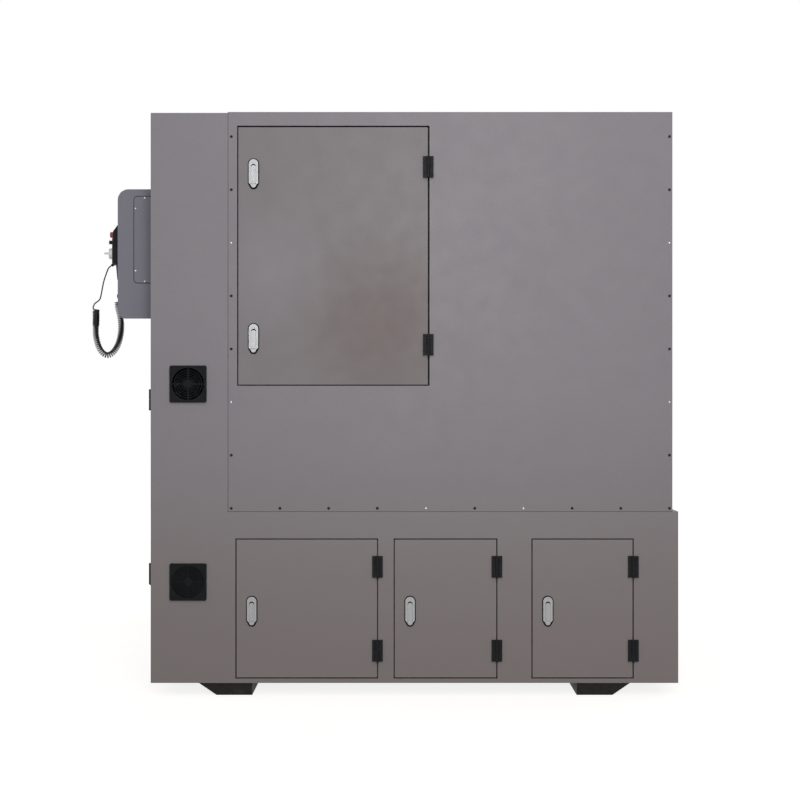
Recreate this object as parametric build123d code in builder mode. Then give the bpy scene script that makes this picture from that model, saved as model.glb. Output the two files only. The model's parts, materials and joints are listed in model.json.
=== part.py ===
from build123d import *
from collections import namedtuple
import math
import os

# A fully enclosed CNC milling machine: a sheet metal enclosure on a welded base, service doors on its
# right side, a control box with a hand pulse generator at the front, and a portal mill inside.
# Millimetres, +Z up. The operator stands at -Y and the service doors face +X.
# The origin is on the floor, in the middle of the four levelling holes.

os.makedirs("parts", exist_ok=True)

# Enclosure
body_width = 1600.0
base_depth = 1800.0
body_height = 1990.0
rear_step = 20.0
foot_height = 42.0
base_height = 585.0
column_depth = 264.0
column_drop = 3.0
sheet = 2.0
seam_gap = 2.0
strip_width = 46.0
overrun = 1.0

# Skids
skid_sole = 122.0
skid_slope = 62.0
skid_inset = 5.0
skid_setback = 285.0
level_hole_radius = 7.0
level_hole_depth = 34.0
level_hole_inset = 160.0

# Service doors: pans that shut flush into a folded rebate
door_gap = 4.0
door_depth = 20.0
rebate_depth = 24.0
rebate_lip = 14.0
upper_door_width = 646.0
upper_door_height = 878.0
upper_door_from_seam = 34.0
upper_door_under_top = 52.0
lower_door_height = 470.0
lower_door_over_skid = 19.0
front_bay_share = 0.4108
front_bay_from_seam = 28.0
middle_bay_share = 0.2967
middle_bay_spacing = 61.0
bay_from_rear = 156.0
rear_bay_spacing = 124.0
cabinet_door_width = 400.0
cabinet_door_height = 870.0
cabinet_door_bottom = 274.0
cabinet_door_from_side = 36.0

# Leaf hinges
hinge_width = 36.0
hinge_height = 73.0
hinge_leaf_thickness = 6.0
hinge_barrel_radius = 6.5
hinge_pin_radius = 3.0
hinge_bore_clearance = 0.3
hinge_end_clearance = 0.5
hinge_side_clearance = 0.7
upper_hinge_inset = 136.0
lower_hinge_inset = 92.0

# Flush panel locks with a lever
lock_width = 32.0
lock_height = 97.0
lock_plate = 4.0
lock_tip_radius = 9.0
lock_taper = 7.0
lock_body_width = 25.0
lock_body_height = 88.0
lock_body_depth = 15.0
lock_cut_clearance = 0.5
lock_slot_width = 17.0
lock_slot_depth = 9.0
lock_button_radius = 5.0
lock_button_from_top = 7.5
lock_button_height = 1.5
lever_clearance = 0.5
lever_length = 62.0
lever_finger_gap = 4.0
lever_thickness = 6.5
lever_sink = 2.0
lever_pivot_radius = 4.0
lever_pivot_from_tip = 14.5
lever_ridge_width = 6.0
lever_ridge_height = 1.5
lock_from_edge = 52.0
upper_lock_inset = 158.0
lower_lock_height = 227.0

# Fan guards in the column
fan_size = 126.0
fan_corner = 6.0
fan_from_front = 128.0
upper_fan_height = 1062.0
lower_fan_height = 387.0
fan_guard_depth = 6.0
fan_opening_radius = 55.0
fan_ring_width = 2.6
fan_ring_pitch = 8.0
fan_ring_count = 5
fan_ring_depth = 3.0
fan_spoke_width = 4.0
fan_hub_radius = 13.0
fan_frame_size = 120.0
fan_frame_depth = 25.0
fan_frame_wall = 3.0
fan_bore_radius = 56.5
fan_tip_clearance = 3.0
fan_rotor_hub_radius = 20.0
fan_rotor_clearance = 0.5
fan_blade_count = 7
fan_blade_chord = 17.0
fan_blade_thickness = 2.0
fan_blade_pitch_degrees = 38.0
filter_depth = 8.0

# Screws round the bolted panel and the side cover
screw_radius = 3.0
screw_height = 1.4
panel_screw_inset = 10.0
panel_screw_from_top = 84.0
panel_screw_rows = 8
panel_screw_columns = 10
cover_screw_inset = 4.5
cover_screw_from_corner = 42.0

# Control box and operator face
box_from_side = 120.0
box_width = 380.0
box_depth = 140.0
box_under_top = 243.0
box_height = 454.0
cheek_thickness = 3.0
cheek_top_corner = 38.0
cheek_bottom_corner = 28.0
shell_inset = 5.0
shell_lift = 28.0
shell_corner = 20.0
box_wall = 2.5
face_thickness = 3.0
face_margin = 12.0
face_window_margin = 26.0
cover_thickness = 1.5
cover_depth = 74.0
cover_from_body = 8.0
cover_under_top = 26.0
cover_height = 302.0
cover_corner = 11.0
screen_width = 200.0
screen_height = 160.0
screen_rim = 10.0
screen_rim_height = 4.0
key_size = 15.0
key_height = 2.5
key_pitch = 22.0
key_columns = 9
key_rows = 8

# Hand pulse generator on its bracket
pulse_from_side = 220.0
pulse_width = 76.0
pulse_height = 136.0
pulse_over_box = 199.5
pulse_depth = 37.0
pulse_upper_depth = 33.0
pulse_top_depth = 20.0
pulse_step_height = 89.0
pulse_step_rise = 4.0
pulse_shoulder = 20.0
pulse_edge = 3.0
shelf_thickness = 3.0
shelf_width = 50.0
shelf_depth = 30.5
gusset_height = 50.0
gusset_thickness = 5.0
gusset_foot = 26.0
gland_radius = 5.0
gland_length = 9.0
gland_slope_share = 0.5
wheel_radius = 19.5
wheel_thickness = 16.5
wheel_height = 39.5
wheel_clearance = 0.5
wheel_shaft_radius = 5.0
wheel_shaft_bore = 5.2
wheel_shaft_depth = 8.0
wheel_rim_edge = 2.0
crank_radius = 3.6
crank_length = 15.0
crank_offset = 13.0
selector_radius = 6.5
selector_length = 18.0
selector_height = 80.5
selector_grip_width = 4.0
selector_pointer_depth = 9.0
stop_radius = 10.6
stop_length = 13.5
stop_stem_radius = 6.0
stop_stem_bore = 6.3
stop_height = 107.5
stop_travel = 4.0
stop_edge = 2.0
stop_stem_depth = 9.0
socket_width = 14.0
socket_over_box = 81.0
socket_height = 14.0
socket_depth = 26.0
socket_edge = 5.0

# Handset cord: a plain lead and the outer shape of the curly part, as (y, z) from the box's lower front edge
lead_radius = 2.5
lead_out = 12.0
curl_radius = 12.5
curl_last_rise = 57.0
shorter_run_share = 0.45
lead_route = [
    (-63.5, 169.0),
    (-72.5, 143.0),
    (-78.0, 116.5),
    (-83.0, 87.0),
    (-90.5, 64.0),
    (-100.5, 50.0),
    (-100.5, 38.0),
]
curl_route = [
    (-100.5, -3.0),
    (-102.0, -38.0),
    (-100.0, -65.0),
    (-90.0, -99.0),
    (-77.0, -117.0),
    (-63.5, -126.0),
    (-46.0, -122.0),
    (-31.0, -105.0),
    (-20.0, -83.0),
    (-13.0, -58.0),
    (-9.5, -27.0),
    (-11.0, 0.0),
    (-15.5, 30.0),
]

# Front: sliding door, fixed window, tracks
opening_from_partition = 48.0
opening_bottom = 830.0
opening_under_top = 290.0
slider_overlap = 14.0
slider_depth = 30.0
slider_clearance = 2.0
slider_wall = 2.0
slider_window_margin = 90.0
slider_stay = 33.0
pull_depth = 26.0
pull_width = 34.0
track_from_left = 21.0
track_depth = 38.0
track_sheet = 3.0
track_lip = 9.0
track_clearance = 0.3
glass = 5.0
glass_overlap = 16.0
fixed_window_from_left = 110.0
fixed_window_from_door = 31.0
fixed_window_over_sill = 170.0
fixed_window_under_head = 140.0

# Welded base stand
stand_clearance = 4.0
stand_floor = 6.0
stand_deck = 12.0
deck_drop = 7.0
post_size = 50.0
post_from_skin = 36.0
partition_from_side = 472.0
partition_clearance = 2.0
partition_top_gap = 2.0

# Servo drives on the partition
drive_width = 85.0
drive_height = 230.0
drive_depth = 150.0
drive_pitch = 105.0
drive_count = 4
drive_bottom = 720.0
drive_edge = 4.0
supply_width = 260.0
supply_height = 200.0
supply_depth = 130.0
supply_bottom = 420.0

# Cast bed, table and Y axis
bed_from_leg = 50.0
bed_from_front = 300.0
bed_from_rear = 180.0
bed_height = 180.0
bed_channel_width = 150.0
bed_channel_depth = 100.0
rail_width = 25.0
rail_height = 24.0
rail_from_edge = 120.0
carriage_length = 90.0
carriage_width = 62.0
carriage_clearance = 0.4
carriage_lift = 6.0
table_from_edge = 60.0
table_length = 600.0
table_thickness = 60.0
table_from_bed = 150.0
slot_count = 5
slot_from_edge = 80.0
slot_width = 14.0
slot_depth = 28.0
slot_foot_width = 24.0
slot_foot_depth = 11.0
screw_shaft_radius = 12.0
screw_bore_clearance = 0.4
screw_block = 60.0
screw_block_length = 40.0
motor_size = 90.0
motor_length = 135.0
motor_edge = 8.0
motor_shaft_clearance = 1.0

# Portal, X saddle and Z head
portal_from_side = 200.0
portal_depth = 260.0
portal_from_bed = 760.0
portal_leg = 170.0
portal_beam_bottom = 1240.0
portal_beam_height = 300.0
x_rail_spacing = 220.0
x_rail_inset = 10.0
saddle_width = 300.0
saddle_height = 290.0
saddle_thickness = 40.0
z_rail_spacing = 180.0
z_rail_length = 420.0
head_width = 240.0
head_height = 400.0
head_thickness = 40.0
head_under_top = 65.0
head_carriage_rise = 200.0
clamp_width = 150.0
clamp_height = 120.0
clamp_depth = 130.0
clamp_rise = 60.0
spindle_radius = 50.0
spindle_length = 300.0
spindle_fit = 0.2
spindle_rise = 30.0
nose_radius = 20.0
nose_length = 42.0
nose_seat = 26.0
nose_clearance = 0.3
collet_radius = 25.0
collet_length = 24.0
collet_edge = 1.0
tool_radius = 4.0
tool_length = 40.0

# Service units behind the lower doors
tank_margin = 40.0
tank_width = 360.0
tank_height = 300.0
tank_corner = 20.0
pump_radius = 60.0
pump_height = 150.0
lube_width = 170.0
lube_depth = 210.0
lube_height = 190.0
lube_corner = 14.0
lube_cap_radius = 26.0
lube_cap_height = 22.0
lube_pump_size = 100.0
lube_pump_height = 90.0
service_set_in = 60.0

# Limits of the enclosure, worked out from the sizes above
right = body_width / 2
front = -base_depth / 2
rear = base_depth / 2
upper_rear = rear - rear_step
base_bottom = foot_height
seam_z = foot_height + base_height
column_top = body_height - column_drop
seam_y = front + column_depth
panel_front = seam_y + seam_gap / 2
panel_bottom = seam_z + seam_gap / 2
side = Plane.YZ.offset(right)
face = Plane.XZ.offset(-front)
inside = right - sheet
partition_x = right - partition_from_side

Door = namedtuple("Door", "plane u v hinges locks")


def span(start, size):
    """Limits of a size that starts at a given place."""
    return (start, start + size)


def about(middle, size):
    """Limits of a size centred on a place."""
    return (middle - size / 2, middle + size / 2)


def rectangle(u, v, grow=0, mode=Mode.ADD):
    """Rectangle between limits in the sketch being drawn, grown on every side."""
    with Locations((sum(u) / 2, sum(v) / 2)):
        Rectangle(u[1] - u[0] + 2 * grow, v[1] - v[0] + 2 * grow, mode=mode)


def slab(plane, u, v, w, grow=0, mode=Mode.ADD):
    """Plate between limits on a skin's plane, w measured outwards from the skin."""
    with BuildSketch(plane.offset(w[0])) as outline:
        rectangle(u, v, grow)
    extrude(outline.sketch, amount=w[1] - w[0], mode=mode)


def block(x, y, z, mode=Mode.ADD):
    """Box between limits along the three axes."""
    with Locations((sum(x) / 2, sum(y) / 2, sum(z) / 2)):
        Box(x[1] - x[0], y[1] - y[0], z[1] - z[0], mode=mode)


def rod(plane, radius, length, mode=Mode.ADD):
    """Cylinder that stands on a plane's origin, along its normal."""
    with BuildSketch(plane) as circle:
        Circle(radius)
    extrude(circle.sketch, amount=length, mode=mode)


def keep(piece, name):
    """Label a finished piece and write it."""
    piece.label = name
    export_step(piece, f"parts/{name}.step")


def service_door(plane, u, v, hinge_inset, locks):
    """A door's limits with the heights of its two hinges and its locks."""
    return Door(plane, u, v, (v[0] + hinge_inset, v[1] - hinge_inset), locks)


# Places of the five service doors
upper_u = span(panel_front + upper_door_from_seam, upper_door_width)
upper_v = (body_height - upper_door_under_top - upper_door_height, body_height - upper_door_under_top)
lower_v = span(base_bottom + lower_door_over_skid, lower_door_height)
bay_ends = (panel_front + front_bay_from_seam, rear - bay_from_rear)
bay_run = bay_ends[1] - bay_ends[0] - middle_bay_spacing - rear_bay_spacing
front_bay_u = span(bay_ends[0], front_bay_share * bay_run)
middle_bay_u = span(front_bay_u[1] + middle_bay_spacing, middle_bay_share * bay_run)
rear_bay_u = (middle_bay_u[1] + rear_bay_spacing, bay_ends[1])
cabinet_u = span(right - cabinet_door_from_side - cabinet_door_width, cabinet_door_width)
cabinet_v = span(cabinet_door_bottom, cabinet_door_height)
lower_locks = (lower_v[0] + lower_lock_height,)
upper_locks = (upper_v[1] - upper_lock_inset, upper_v[0] + upper_lock_inset)
doors = {
    "upper": service_door(side, upper_u, upper_v, upper_hinge_inset, upper_locks),
    "lower_front": service_door(side, front_bay_u, lower_v, lower_hinge_inset, lower_locks),
    "lower_middle": service_door(side, middle_bay_u, lower_v, lower_hinge_inset, lower_locks),
    "lower_rear": service_door(side, rear_bay_u, lower_v, lower_hinge_inset, lower_locks),
    "cabinet": service_door(face, cabinet_u, cabinet_v, upper_hinge_inset, (sum(cabinet_v) / 2,)),
}
base_doors = [doors[name] for name in ("lower_front", "lower_middle", "lower_rear")]


def rebate(door):
    """Folded edge round a door opening, with the lip that the door shuts against."""
    for inner, depth in ((door_gap, rebate_depth - sheet), (door_gap - rebate_lip, sheet)):
        with BuildSketch(door.plane.offset(-rebate_depth)) as ring:
            rectangle(door.u, door.v, door_gap + sheet)
            rectangle(door.u, door.v, inner, Mode.SUBTRACT)
        extrude(ring.sketch, amount=depth)


def hinge_leaf(door, height, hand):
    """One leaf of a hinge: hand 1 is the frame's leaf with the pin, hand -1 the door's with the bore."""
    axis_u = door.u[1] + door_gap / 2
    foot = door.plane.from_local_coords((axis_u, height - hinge_height / 2, hinge_barrel_radius))
    section = Plane(foot, x_dir=door.plane.x_dir, z_dir=door.plane.y_dir)
    half = (hinge_height - hinge_end_clearance) / 2
    own = section if hand > 0 else section.offset(hinge_height - half)
    root = hand * (hinge_barrel_radius + hinge_side_clearance)
    tip = hand * hinge_width / 2
    depth = (hinge_barrel_radius - hinge_leaf_thickness, hinge_barrel_radius)
    slab(section, sorted((root, tip)), depth, (0, hinge_height))
    slab(own, sorted((0, root)), (depth[0], depth[1] - hinge_end_clearance), (0, half))
    rod(own, hinge_barrel_radius, half)
    if hand > 0:
        rod(section, hinge_pin_radius, hinge_height)
    else:
        rod(section, hinge_pin_radius + hinge_bore_clearance, hinge_height, Mode.SUBTRACT)


def lock_centre(door, height):
    """Plane on the door's skin at the middle of a lock."""
    origin = door.plane.from_local_coords((door.u[0] + lock_from_edge, height, 0))
    return Plane(origin, x_dir=door.plane.x_dir, z_dir=door.plane.z_dir)


half_lock = lock_width / 2
lock_round_v = lock_height / 2 - half_lock
lock_tip_v = lock_tip_radius - lock_height / 2
lock_body_v = about(0, lock_body_height)
pivot_v = lever_pivot_from_tip - lock_height / 2
lever_top_v = pivot_v + lever_length
lever_width = lock_slot_width - 2 * lever_clearance
lever_round_v = lever_top_v - lever_width / 2
lock_slot_u = about(0, lock_slot_width)
lock_slot_v = (pivot_v - lever_pivot_radius - 2 * lever_clearance, lever_round_v + lever_finger_gap)


def spot(centre, v, w):
    """Plane on a lock's middle line, v above its middle and w out of the skin."""
    return Plane(centre.from_local_coords((0, v, w)), x_dir=centre.x_dir, z_dir=centre.z_dir)


def lock_housing(door, height):
    """Lock plate with a round top and a tapered tip, its body behind the skin and the lever's slot."""
    centre = lock_centre(door, height)
    with BuildSketch(centre) as outline:
        with BuildLine():
            CenterArc((0, lock_round_v), half_lock, 0, 180)
            shoulder_v = lock_tip_v + lock_taper
            shoulder = (-half_lock, shoulder_v)
            left = Polyline((-half_lock, lock_round_v), shoulder, (-lock_tip_radius, lock_tip_v))
            tip = ThreePointArc(left @ 1, (0, -lock_height / 2), (lock_tip_radius, lock_tip_v))
            Polyline(tip @ 1, (half_lock, shoulder_v), (half_lock, lock_round_v))
        make_face()
    extrude(outline.sketch, amount=lock_plate)
    slab(centre, about(0, lock_body_width), lock_body_v, (-lock_body_depth, 0))
    slot_w = (-lock_slot_depth, lock_plate + overrun)
    slab(centre, lock_slot_u, lock_slot_v, slot_w, mode=Mode.SUBTRACT)
    rod(spot(centre, lock_slot_v[1], slot_w[0]), lock_slot_width / 2, slot_w[1] - slot_w[0], Mode.SUBTRACT)
    button_v = lock_height / 2 - lock_button_from_top
    rod(spot(centre, button_v, lock_plate), lock_button_radius, lock_button_height)


def lock_lever(door, height):
    """Lever that lies in the lock's slot, pivoted on a barrel near the tip, with a round end and a ridge."""
    centre = lock_centre(door, height)
    u = about(0, lever_width)
    top = lever_thickness - lever_sink
    slab(centre, u, (pivot_v, lever_round_v), (-lever_sink, top))
    rod(spot(centre, lever_round_v, -lever_sink), lever_width / 2, lever_thickness)
    ridge_v = (pivot_v + lever_pivot_radius, lever_round_v)
    slab(centre, about(0, lever_ridge_width), ridge_v, (top, top + lever_ridge_height))
    start = centre.from_local_coords((u[0], pivot_v, 0))
    rod(Plane(start, x_dir=centre.y_dir, z_dir=centre.x_dir), lever_pivot_radius, u[1] - u[0])


def door_pan(door):
    """Folded door: a skin with its edges turned in, cut for its locks."""
    slab(door.plane, door.u, door.v, (-door_depth, 0))
    slab(door.plane, door.u, door.v, (-door_depth, -sheet), -sheet, Mode.SUBTRACT)
    for height in door.locks:
        centre = lock_centre(door, height)
        cut_u = about(0, lock_body_width)
        slab(centre, cut_u, lock_body_v, (-door_depth, overrun), lock_cut_clearance, Mode.SUBTRACT)


# Right skin: front column and base in one sheet, with bays for the lower doors
fan_places = [(front + fan_from_front, height) for height in (upper_fan_height, lower_fan_height)]
with BuildPart() as right_frame:
    with BuildSketch(side.offset(-sheet)):
        with BuildLine():
            Polyline(
                (front, base_bottom),
                (rear, base_bottom),
                (rear, seam_z - seam_gap / 2),
                (seam_y - seam_gap / 2, seam_z - seam_gap / 2),
                (seam_y - seam_gap / 2, column_top),
                (front, column_top),
                close=True,
            )
        make_face()
        for door in base_doors:
            rectangle(door.u, door.v, door_gap, Mode.SUBTRACT)
        with Locations(*fan_places):
            Circle(fan_bore_radius, mode=Mode.SUBTRACT)
    extrude(amount=sheet)
    with BuildSketch(side.offset(-2 * sheet)):
        rectangle(about(seam_y, strip_width), (seam_z - strip_width / 2, column_top - strip_width))
        rectangle((seam_y - strip_width / 2, upper_rear - strip_width), about(seam_z, strip_width))
    extrude(amount=sheet)
    for door in base_doors:
        rebate(door)
keep(right_frame.part, "right_frame")

# Bolted upper panel with the bay for the upper door
with BuildPart() as right_panel:
    slab(side, (panel_front, upper_rear), (panel_bottom, body_height), (-sheet, 0))
    slab(side, upper_u, upper_v, (-sheet, overrun), door_gap, Mode.SUBTRACT)
    rebate(doors["upper"])
keep(right_panel.part, "right_panel")

# Left skin, one plain sheet with the step at the rear
with BuildPart() as left_side:
    with BuildSketch(Plane.YZ.offset(-right)):
        with BuildLine():
            Polyline(
                (front, base_bottom),
                (rear, base_bottom),
                (rear, seam_z),
                (upper_rear, seam_z),
                (upper_rear, column_top),
                (front, column_top),
                close=True,
            )
        make_face()
    extrude(amount=sheet)
keep(left_side.part, "left_side")

# Rear skin, folded out over the base
with BuildPart() as rear_panel:
    block((-inside, inside), (rear - sheet, rear), (base_bottom, seam_z))
    block((-inside, inside), (upper_rear - sheet, rear), (seam_z - sheet, seam_z))
    block((-inside, inside), (upper_rear - sheet, upper_rear), (seam_z - sheet, column_top - sheet))
keep(rear_panel.part, "rear_panel")

with BuildPart() as roof_panel:
    block((-inside, inside), (front + sheet, upper_rear - sheet), (column_top - sheet, column_top))
keep(roof_panel.part, "roof_panel")

# Front skin with the working opening, the fixed window, the cabinet bay and the sliding door's tracks
opening_right = partition_x - opening_from_partition
opening_v = (opening_bottom, body_height - opening_under_top)
track_u = (track_from_left - right, opening_right + slider_overlap)
slider_width = (track_u[1] - track_u[0] + slider_stay) / 2
slider_u = (track_u[1] - slider_width, track_u[1])
slider_v = (opening_v[0] - slider_overlap, opening_v[1] + slider_overlap)
opening_u = (slider_u[0] + slider_overlap, opening_right)
window_u = (fixed_window_from_left - right, slider_u[0] - fixed_window_from_door)
window_v = (opening_v[0] + fixed_window_over_sill, opening_v[1] - fixed_window_under_head)
with BuildPart() as front_panel:
    slab(face, (-inside, inside), (base_bottom, column_top - sheet), (-sheet, 0))
    slab(face, opening_u, opening_v, (-sheet, overrun), mode=Mode.SUBTRACT)
    slab(face, window_u, window_v, (-sheet, overrun), mode=Mode.SUBTRACT)
    slab(face, doors["cabinet"].u, doors["cabinet"].v, (-sheet, overrun), door_gap, Mode.SUBTRACT)
    rebate(doors["cabinet"])
    sill = slider_v[0] - track_clearance
    head = slider_v[1] + track_clearance
    slab(face, track_u, (sill - track_sheet, sill), (0, track_depth))
    slab(face, track_u, (sill - track_sheet, sill + track_lip), (track_depth - track_sheet, track_depth))
    slab(face, track_u, (head, head + track_sheet), (0, track_depth))
    slab(face, track_u, (head - track_lip, head + track_sheet), (track_depth - track_sheet, track_depth))
keep(front_panel.part, "front_panel")

with BuildPart() as fixed_window:
    slab(face, window_u, window_v, (-sheet - glass, -sheet), glass_overlap)
keep(fixed_window.part, "fixed_window")

# Sliding front door: a folded pan with a window and a pull folded out along its free edge
slider_w = (slider_clearance, slider_clearance + slider_depth)
with BuildPart() as front_door:
    slab(face, slider_u, slider_v, slider_w)
    slab(face, slider_u, slider_v, (slider_w[0], slider_w[1] - slider_wall), -slider_wall, Mode.SUBTRACT)
    slab(face, slider_u, slider_v, (slider_w[0], slider_w[1] + overrun), -slider_window_margin, Mode.SUBTRACT)
    pull_u = (slider_u[1] - pull_width, slider_u[1] - pull_width + slider_wall)
    pull_v = (slider_v[0] + slider_window_margin, slider_v[1] - slider_window_margin)
    slab(face, pull_u, pull_v, (slider_w[1], slider_w[1] + pull_depth))
keep(front_door.part, "front_door")

with BuildPart() as front_door_window:
    pane_w = (slider_w[1] - slider_wall - glass, slider_w[1] - slider_wall)
    slab(face, slider_u, slider_v, pane_w, glass_overlap - slider_window_margin)
keep(front_door_window.part, "front_door_window")

# Service doors with their door-side hinge leaves, lock housings and levers
for name, door in doors.items():
    with BuildPart() as pan:
        door_pan(door)
    keep(pan.part, f"{name}_door")
    with BuildPart() as leaves:
        for height in door.hinges:
            hinge_leaf(door, height, -1)
    keep(leaves.part, f"{name}_door_hinge_leaves")
    with BuildPart() as housings:
        for height in door.locks:
            lock_housing(door, height)
    keep(housings.part, f"{name}_door_lock")
    ends = ("_top", "_bottom") if len(door.locks) > 1 else ("",)
    for end, height in zip(ends, door.locks):
        with BuildPart() as lever:
            lock_lever(door, height)
        keep(lever.part, f"{name}_lever{end}")

with BuildPart() as hinge_frame_leaves:
    for door in doors.values():
        for height in door.hinges:
            hinge_leaf(door, height, 1)
keep(hinge_frame_leaves.part, "hinge_frame_leaves")

# Screw heads round the bolted panel and round the control box's side cover
box_side = right - box_from_side
box_u = (box_side - box_width, box_side)
box_v = (body_height - box_under_top - box_height, body_height - box_under_top)
box_front = front - box_depth
cover_v = (box_v[1] - cover_under_top - cover_height, box_v[1] - cover_under_top)
cover_y = (front - cover_from_body - cover_depth, front - cover_from_body)
row_low = panel_bottom + panel_screw_inset
row_pitch = (body_height - panel_screw_from_top - row_low) / (panel_screw_rows - 1)
column_front = panel_front + panel_screw_inset
column_rear = upper_rear - panel_screw_inset
column_pitch = (column_rear - column_front) / (panel_screw_columns - 1)
screw_places = [(column_front, row_low + row * row_pitch) for row in range(panel_screw_rows)]
screw_places += [(column_rear, row_low + row * row_pitch) for row in range(panel_screw_rows)]
screw_places += [(column_front + i * column_pitch, row_low) for i in range(1, panel_screw_columns - 1)]
cover_places = []
for z in (cover_v[0] + cover_screw_from_corner, cover_v[1] - cover_screw_from_corner):
    cover_places += [(cover_y[0] + cover_screw_inset, z), (cover_y[1] - cover_screw_inset, z)]
for z in (cover_v[0] + cover_screw_inset, cover_v[1] - cover_screw_inset):
    cover_places += [(sum(cover_y) / 2, z)]
with BuildPart() as panel_screws:
    with BuildSketch(side):
        with Locations(*screw_places):
            Circle(screw_radius)
    extrude(amount=screw_height)
    with BuildSketch(Plane.YZ.offset(box_side + cover_thickness)):
        with Locations(*cover_places):
            Circle(screw_radius)
    extrude(amount=screw_height)
keep(panel_screws.part, "panel_screws")

# Fan guards with the fan's frame behind the upper one and a filter mat behind the lower one
with BuildPart() as fan_guards:
    for y, z in fan_places:
        with BuildSketch(side):
            with Locations((y, z)):
                RectangleRounded(fan_size, fan_size, fan_corner)
                Circle(fan_opening_radius, mode=Mode.SUBTRACT)
        extrude(amount=fan_guard_depth)
        with BuildSketch(side.offset((fan_guard_depth - fan_ring_depth) / 2)):
            with Locations((y, z)):
                Rectangle(2 * fan_opening_radius + overrun, fan_spoke_width)
                Rectangle(fan_spoke_width, 2 * fan_opening_radius + overrun)
                for ring in range(fan_ring_count):
                    radius = fan_opening_radius - (ring + 1) * fan_ring_pitch
                    Circle(radius + fan_ring_width / 2)
                    Circle(radius - fan_ring_width / 2, mode=Mode.SUBTRACT)
                    Rectangle(2 * fan_opening_radius + overrun, fan_spoke_width)
                    Rectangle(fan_spoke_width, 2 * fan_opening_radius + overrun)
                Circle(fan_hub_radius)
        extrude(amount=fan_ring_depth)
    fan_y, fan_z = fan_places[0]
    frame_back = -sheet - fan_frame_depth
    frame_u, frame_v = about(fan_y, fan_frame_size), about(fan_z, fan_frame_size)
    with BuildSketch(side.offset(frame_back)):
        rectangle(frame_u, frame_v)
        with Locations((fan_y, fan_z)):
            Circle(fan_bore_radius, mode=Mode.SUBTRACT)
    extrude(amount=fan_frame_depth)
    with BuildSketch(side.offset(frame_back)):
        with Locations((fan_y, fan_z)):
            Rectangle(2 * fan_bore_radius + overrun, fan_spoke_width)
            Rectangle(fan_spoke_width, 2 * fan_bore_radius + overrun)
            Circle(fan_rotor_hub_radius)
    extrude(amount=fan_frame_wall)
    filter_y, filter_z = fan_places[1]
    filter_u, filter_v = about(filter_y, fan_frame_size), about(filter_z, fan_frame_size)
    slab(side, filter_u, filter_v, (-sheet - filter_depth, -sheet))
keep(fan_guards.part, "fan_guards")

# Fan rotor: a hub with pitched blades
rotor_back = frame_back + fan_frame_wall + fan_rotor_clearance
rotor_depth = -sheet - fan_rotor_clearance - rotor_back
blade_length = fan_bore_radius - fan_tip_clearance - fan_rotor_hub_radius
rotor_seat = Plane(side.from_local_coords((fan_y, fan_z, rotor_back)), side.x_dir, side.z_dir)
with BuildPart(rotor_seat) as fan_rotor:
    with Locations((0, 0, rotor_depth / 2)):
        Cylinder(fan_rotor_hub_radius, rotor_depth)
        with PolarLocations(fan_rotor_hub_radius + blade_length / 2 - overrun, fan_blade_count):
            Box(
                blade_length + 2 * overrun,
                fan_blade_thickness,
                fan_blade_chord,
                rotation=(fan_blade_pitch_degrees, 0, 0),
            )
keep(fan_rotor.part, "fan_rotor")

# Skids: long bars with a slope on the outer side, tapped from below for levelling mounts
skid_middle = rear - skid_setback
hole_x = right - level_hole_inset
with BuildPart() as skids:
    for end in (-1, 1):
        inner = end * (skid_middle - skid_sole / 2)
        outer = end * (skid_middle + skid_sole / 2)
        with BuildSketch(Plane.YZ.offset(skid_inset - right)):
            with BuildLine():
                Polyline(
                    (inner, 0),
                    (outer, 0),
                    (outer + end * skid_slope, foot_height),
                    (inner, foot_height),
                    close=True,
                )
            make_face()
        extrude(amount=body_width - 2 * skid_inset)
    with BuildSketch(Plane.XY):
        with GridLocations(2 * hole_x, 2 * skid_middle, 2, 2):
            Circle(level_hole_radius)
    extrude(amount=level_hole_depth, mode=Mode.SUBTRACT)
keep(skids.part, "skids")

# Welded base stand: floor, deck and posts, with the deck cut away over the electrical cabinet
stand_x = inside - stand_clearance
stand_y = (front + sheet + stand_clearance, rear - sheet - stand_clearance)
floor_top = base_bottom + stand_floor
deck_top = seam_z - deck_drop
post_x = right - rebate_depth - post_from_skin
post_places = [seam_y + post_size / 2 + partition_clearance, front_bay_u[1] + middle_bay_spacing / 2]
post_places += [middle_bay_u[1] + rear_bay_spacing / 2, rear - post_size]
with BuildPart() as base_stand:
    block((-stand_x, stand_x), stand_y, (base_bottom, floor_top))
    block((-stand_x, stand_x), stand_y, (deck_top - stand_deck, deck_top))
    cut_x = (partition_x - partition_clearance - sheet, stand_x + overrun)
    cut_y = (stand_y[0] - overrun, seam_y + partition_clearance)
    block(cut_x, cut_y, (deck_top - stand_deck - overrun, deck_top + overrun), Mode.SUBTRACT)
    for hand in (-1, 1):
        for y in post_places:
            block(about(hand * post_x, post_size), about(y, post_size), (floor_top, deck_top - stand_deck))
    block(about(-post_x, post_size), span(stand_y[0], post_size), (floor_top, deck_top - stand_deck))
keep(base_stand.part, "base_stand")

# Electrical partition: the side and rear wall of the cabinet in the front column
partition_z = (floor_top, column_top - sheet - partition_top_gap)
partition_rear = seam_y - strip_width / 2 - partition_clearance
with BuildPart() as electrical_partition:
    block((partition_x - sheet, partition_x), (front + sheet, partition_rear), partition_z)
    rear_wall_x = (partition_x - sheet, inside - sheet - partition_clearance)
    block(rear_wall_x, span(partition_rear, sheet), partition_z)
keep(electrical_partition.part, "electrical_partition")

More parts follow.
